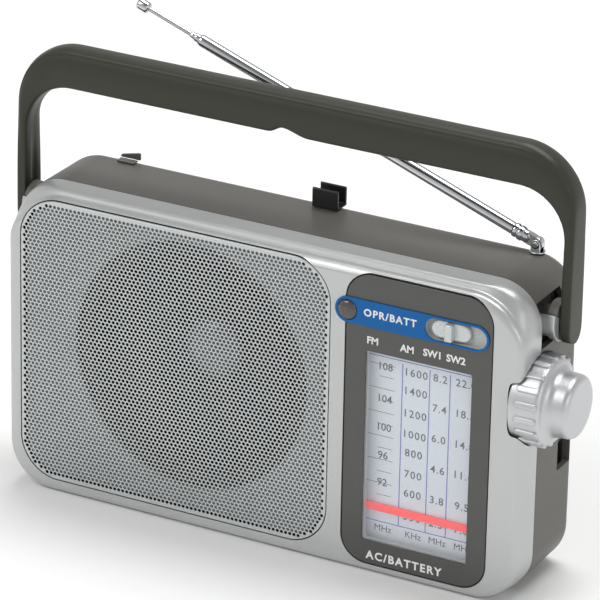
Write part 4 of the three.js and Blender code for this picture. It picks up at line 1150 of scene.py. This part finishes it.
def build_pivots():
    """Round bosses beside the handle's arms: silver below a slanting line, dark above it."""
    outer = HANDLE_HIGH[0] - ARM - 0.4
    tilt = math.pi / 7
    tabs, bosses = [], []
    for side in (-1, 1):
        for lower in (True, False):
            if lower:
                profile = [(SIDE - 6.3, 8.2), (outer - 5.0, 8.2), (outer - 4.2, 8.35), (outer - 3.2, 8.85),
                           (outer - 1.2, 9.2), (outer - 0.3, 9.2), (outer, 8.9)]
            else:
                profile = [(SIDE - 6.3, 4.2), (outer - 4.6, 4.2), (outer - 4.4, 7.0), (outer - 3.8, 7.4),
                           (outer - 0.8, 7.8), (outer - 0.2, 7.8), (outer, 7.6)]
            boss = turned("boss", [(side * a, r) for a, r in profile], (0, PIVOT[1], PIVOT[2]), (1, 0, 0), 64)
            keep = block("keep", (-150, -20, -20.1 if lower else 0.1), (150, 20, -0.1 if lower else 20.1))
            keep.data.transform(Matrix.Translation((0, PIVOT[1] * MM, PIVOT[2] * MM))
                                @ Matrix.Rotation(-tilt, 4, "X"))
            combine(boss, [keep], "INTERSECT")
            (tabs if lower else bosses).append(boss)
        x0, x1 = sorted((side * (SIDE - 6.2), side * (SIDE - 2.4)))
        tabs.append(block("tab", (x0, PARTING - 1.2, PIVOT[2] - 7.4), (x1, PIVOT[1] - 6.5, PIVOT[2] + 2.4)))
    front = join("front_pivot_tabs", tabs)
    soften(front, 0.5, 3, 35)
    paint(front, SILVER, "cabinet")
    rear = join("rear_pivot_bosses", bosses)
    soften(rear, 0.5, 3, 35)
    paint(rear, DARK, "cabinet")


# ---- volume wheel


def build_wheel():
    low, high = mm_box("volume_wheel")
    radius = (high[2] - low[2]) / 2
    teeth = 40
    rings = []
    for inset, y in [(0.9, low[1]), (0.25, low[1] + 0.5), (0.0, low[1] + 1.1), (0.0, high[1] - 1.1),
                     (0.25, high[1] - 0.5), (0.9, high[1])]:
        ring = []
        for i in range(teeth * 8):
            a = 2 * math.pi * i / (teeth * 8)
            wave = 0.5 + 0.5 * math.cos(teeth * a)
            r = radius - inset - 0.75 * (1 - wave ** 0.6)
            ring.append((WHEEL[0] + r * math.cos(a), y, WHEEL[2] + r * math.sin(a)))
        rings.append(ring)
    wheel = loft("volume_thumbwheel", rings)
    combine(wheel, [bore(3.1, 7, (WHEEL[0], low[1] - 1, WHEEL[2]), sides=32)])
    soften(wheel, 0, smooth=38)
    stand_in(wheel, "volume_wheel", BLACK, "volume")


# ---- antenna


def build_tubes(start):
    """The telescopic tubes with rolled ends: distance from the elbow, and radius."""
    outer = [(11, 2.1), (11.1, 2.45), (11.5, 2.5), (158.6, 2.5), (159.4, 2.42), (159.9, 2.15), (160, 1.85),
             (12.4, 1.85)]
    middle = [(15, 1.5), (15.1, 1.75), (161.3, 1.75), (162.0, 1.7), (162.35, 1.5), (162.4, 1.3), (16.4, 1.3)]
    inner = [(18, 1.1), (18.1, 1.3), (163.2, 1.3), (164.0, 1.25), (164.35, 1.08), (164.4, 0.98), (19.4, 0.98)]
    tip = [(42, 0.0), (42, 0.9), (184.3, 0.9), (184.6, 1.3), (184.9, 2.0), (185.3, 2.32), (186.0, 2.4),
           (188.6, 2.4), (189.4, 2.25), (189.85, 1.8), (190, 1.1), (190, 0.0)]
    for name, node, body, profile in [
        ("antenna_outer", "antenna_tube_outer", "antenna_arm", outer),
        ("antenna_mid", "antenna_tube_middle", "antenna_middle", middle),
        ("antenna_thin", "antenna_tube_inner", "antenna_inner", inner),
        ("antenna_whip", "antenna_rod", "antenna_tip", tip),
    ]:
        closed = profile[0][1] == 0.0
        tube = turned(name, profile if closed else profile + [profile[0]], start, ALONG, 48, (False, False))
        soften(tube, 0, smooth=35)
        stand_in(tube, node, CHROME, body)


def build_knuckle(start):
    """A tongue with an eye, a neck, and two collars with a fine groove between them."""
    profile = [(3.2, 0.9), (3.6, 1.9), (4.4, 2.4), (5.0, 2.55), (6.3, 2.6), (6.5, 2.9), (6.8, 3.0),
               (8.0, 3.0), (8.3, 2.9), (8.45, 2.6), (9.0, 2.6), (9.2, 2.85), (9.5, 2.9), (10.4, 2.9),
               (10.65, 2.8), (10.8, 2.4), (10.8, 1.2)]
    neck = turned("neck", profile, start, ALONG, 48)
    eye = turned("eye", [(-1.3, 2.1), (-1.15, 2.4), (-0.9, 2.5), (0.9, 2.5), (1.15, 2.4), (1.3, 2.1)], start,
                 (0, 1, 0), 48)
    lean = Matrix.Rotation(math.atan2(ALONG[2], -ALONG[0]), 4, "Y")
    tongue = block("tongue", (-5.2, -1.3, -2.3), (0, 1.3, 2.3))
    slit = block("slit", (-9.6, -0.45, 1.9), (-5.6, 0.45, 3.4))
    for piece in (tongue, slit):
        piece.data.transform(Matrix.Translation(start * MM) @ lean)
    combine(neck, [slit])
    knuckle = join("antenna_elbow", [neck, eye, tongue])
    soften(knuckle, 0.12, 2, 40)
    stand_in(knuckle, "antenna_knuckle", CHROME, "antenna_arm")


def build_foot():
    """The swivelling foot: a plate on a stud, and two ears with the rivet's heads."""
    x, y, z = ELBOW
    parts = []
    for side in (-1, 1):
        y0, y1 = sorted((y + side * 1.5, y + side * 2.5))
        ear = [(y0, 1.7), (y0 + 0.2, 1.95), (y1 - 0.2, 1.95), (y1, 1.7)]
        rivet = [(y + side * 2.5, 1.2), (y + side * 2.8, 1.1), (y + side * 2.9, 0.8)]
        parts.append(turned("ear", ear, (x, 0, z), (0, 1, 0), 48))
        parts.append(block("leg", (x - 1.9, y0, HEIGHT + 0.6), (x + 1.9, y1, z)))
        parts.append(turned("rivet", rivet, (x, 0, z), (0, 1, 0), 32))
    plate = [(HEIGHT + 0.25, 3.0), (HEIGHT + 0.35, 3.2), (HEIGHT + 0.65, 3.2), (HEIGHT + 0.75, 3.0)]
    parts.append(turned("plate", plate, (x, y, 0), (0, 0, 1), 48))
    parts.append(turned("stud", [(HEIGHT - 8, 2.5), (HEIGHT + 0.6, 2.5)], (x, y, 0), (0, 0, 1), 32))
    foot = join("antenna_foot", parts)
    soften(foot, 0.12, 2, 40)
    stand_in(foot, "antenna_base", CHROME, "antenna_swivel")


def build_antenna():
    start = Vector(ELBOW)
    build_tubes(start)
    build_knuckle(start)
    build_foot()


# ---- small pieces


def build_clip():
    """The fork that holds the folded antenna, and the saddle near its far end."""
    low, high = mm_box("antenna_clip")
    base, y = HEIGHT + 0.3, ELBOW[1]
    half = [(4, 0), (4, 7.4), (3.7, 7.9), (3.2, 8.1), (2.9, 7.8), (2.8, 7.2), (2.8, 1.4), (2.2, 0.7)]
    fork = [(-4, 0)] + half + [(-a, b) for a, b in reversed(half[1:])]
    clip = loft("antenna_spring_clip", [[(x, y + a, base + b) for a, b in fork] for x in (low[0], high[0])])
    triangulate(clip)
    soften(clip, 0.3, 2, 35)
    stand_in(clip, "antenna_clip", BLACK, "cabinet")
    low, high = mm_box("antenna_rest")
    rings = []
    for share, rise in [(0.0, 0.0), (0.04, 0.35), (0.7, 0.85), (0.88, 1.0), (1.0, 0.96)]:
        x = lerp(low[0], high[0], share)
        top = lerp(low[2] + 0.3, high[2] - 0.7, rise)
        front, back = high[1] - 1.1, high[1]
        rings.append([(x, front, low[2]), (x, back, low[2]), (x, back, top), (x, front, top)])
    wedge = loft("wedge", rings)
    saddle = block("saddle", (low[0] + 1, low[1] + 1.5, low[2]), (high[0], high[1] - 2.5, low[2] + 0.6))
    rest = join("antenna_saddle", [wedge, saddle])
    soften(rest, 0.25, 2, 35)
    stand_in(rest, "antenna_rest", DARK, "cabinet")


def build_small():
    """Pieces that keep their CAD shape, with softened edges."""
    for node, name, mat, body, slot, width in [
        ("battery_door", "battery_cover", DARK, "door", "dark_plastic", 0.3),
        ("ac_inlet", "mains_inlet", BLACK, "cabinet", "black_plastic", 0.2),
        ("earphone_jack", "earphone_socket", BLACK, "cabinet", "black_plastic", 0.2),
    ]:
        paint(from_node(node, name, width), mat, body)
    build_clip()
    for i in range(1, 5):
        paint(from_node(f"cabinet_screw_{i}", f"screw_{i}", 0.12), STEEL, "cabinet")


for build in (build_front, build_rear, build_grille, build_shade_sheets, build_speaker, build_bezel, build_strip,
              build_lamp, build_lens, build_lettering, build_pointer, build_slider, build_knob, build_handle,
              build_pivots, build_wheel, build_antenna, build_small):
    build()
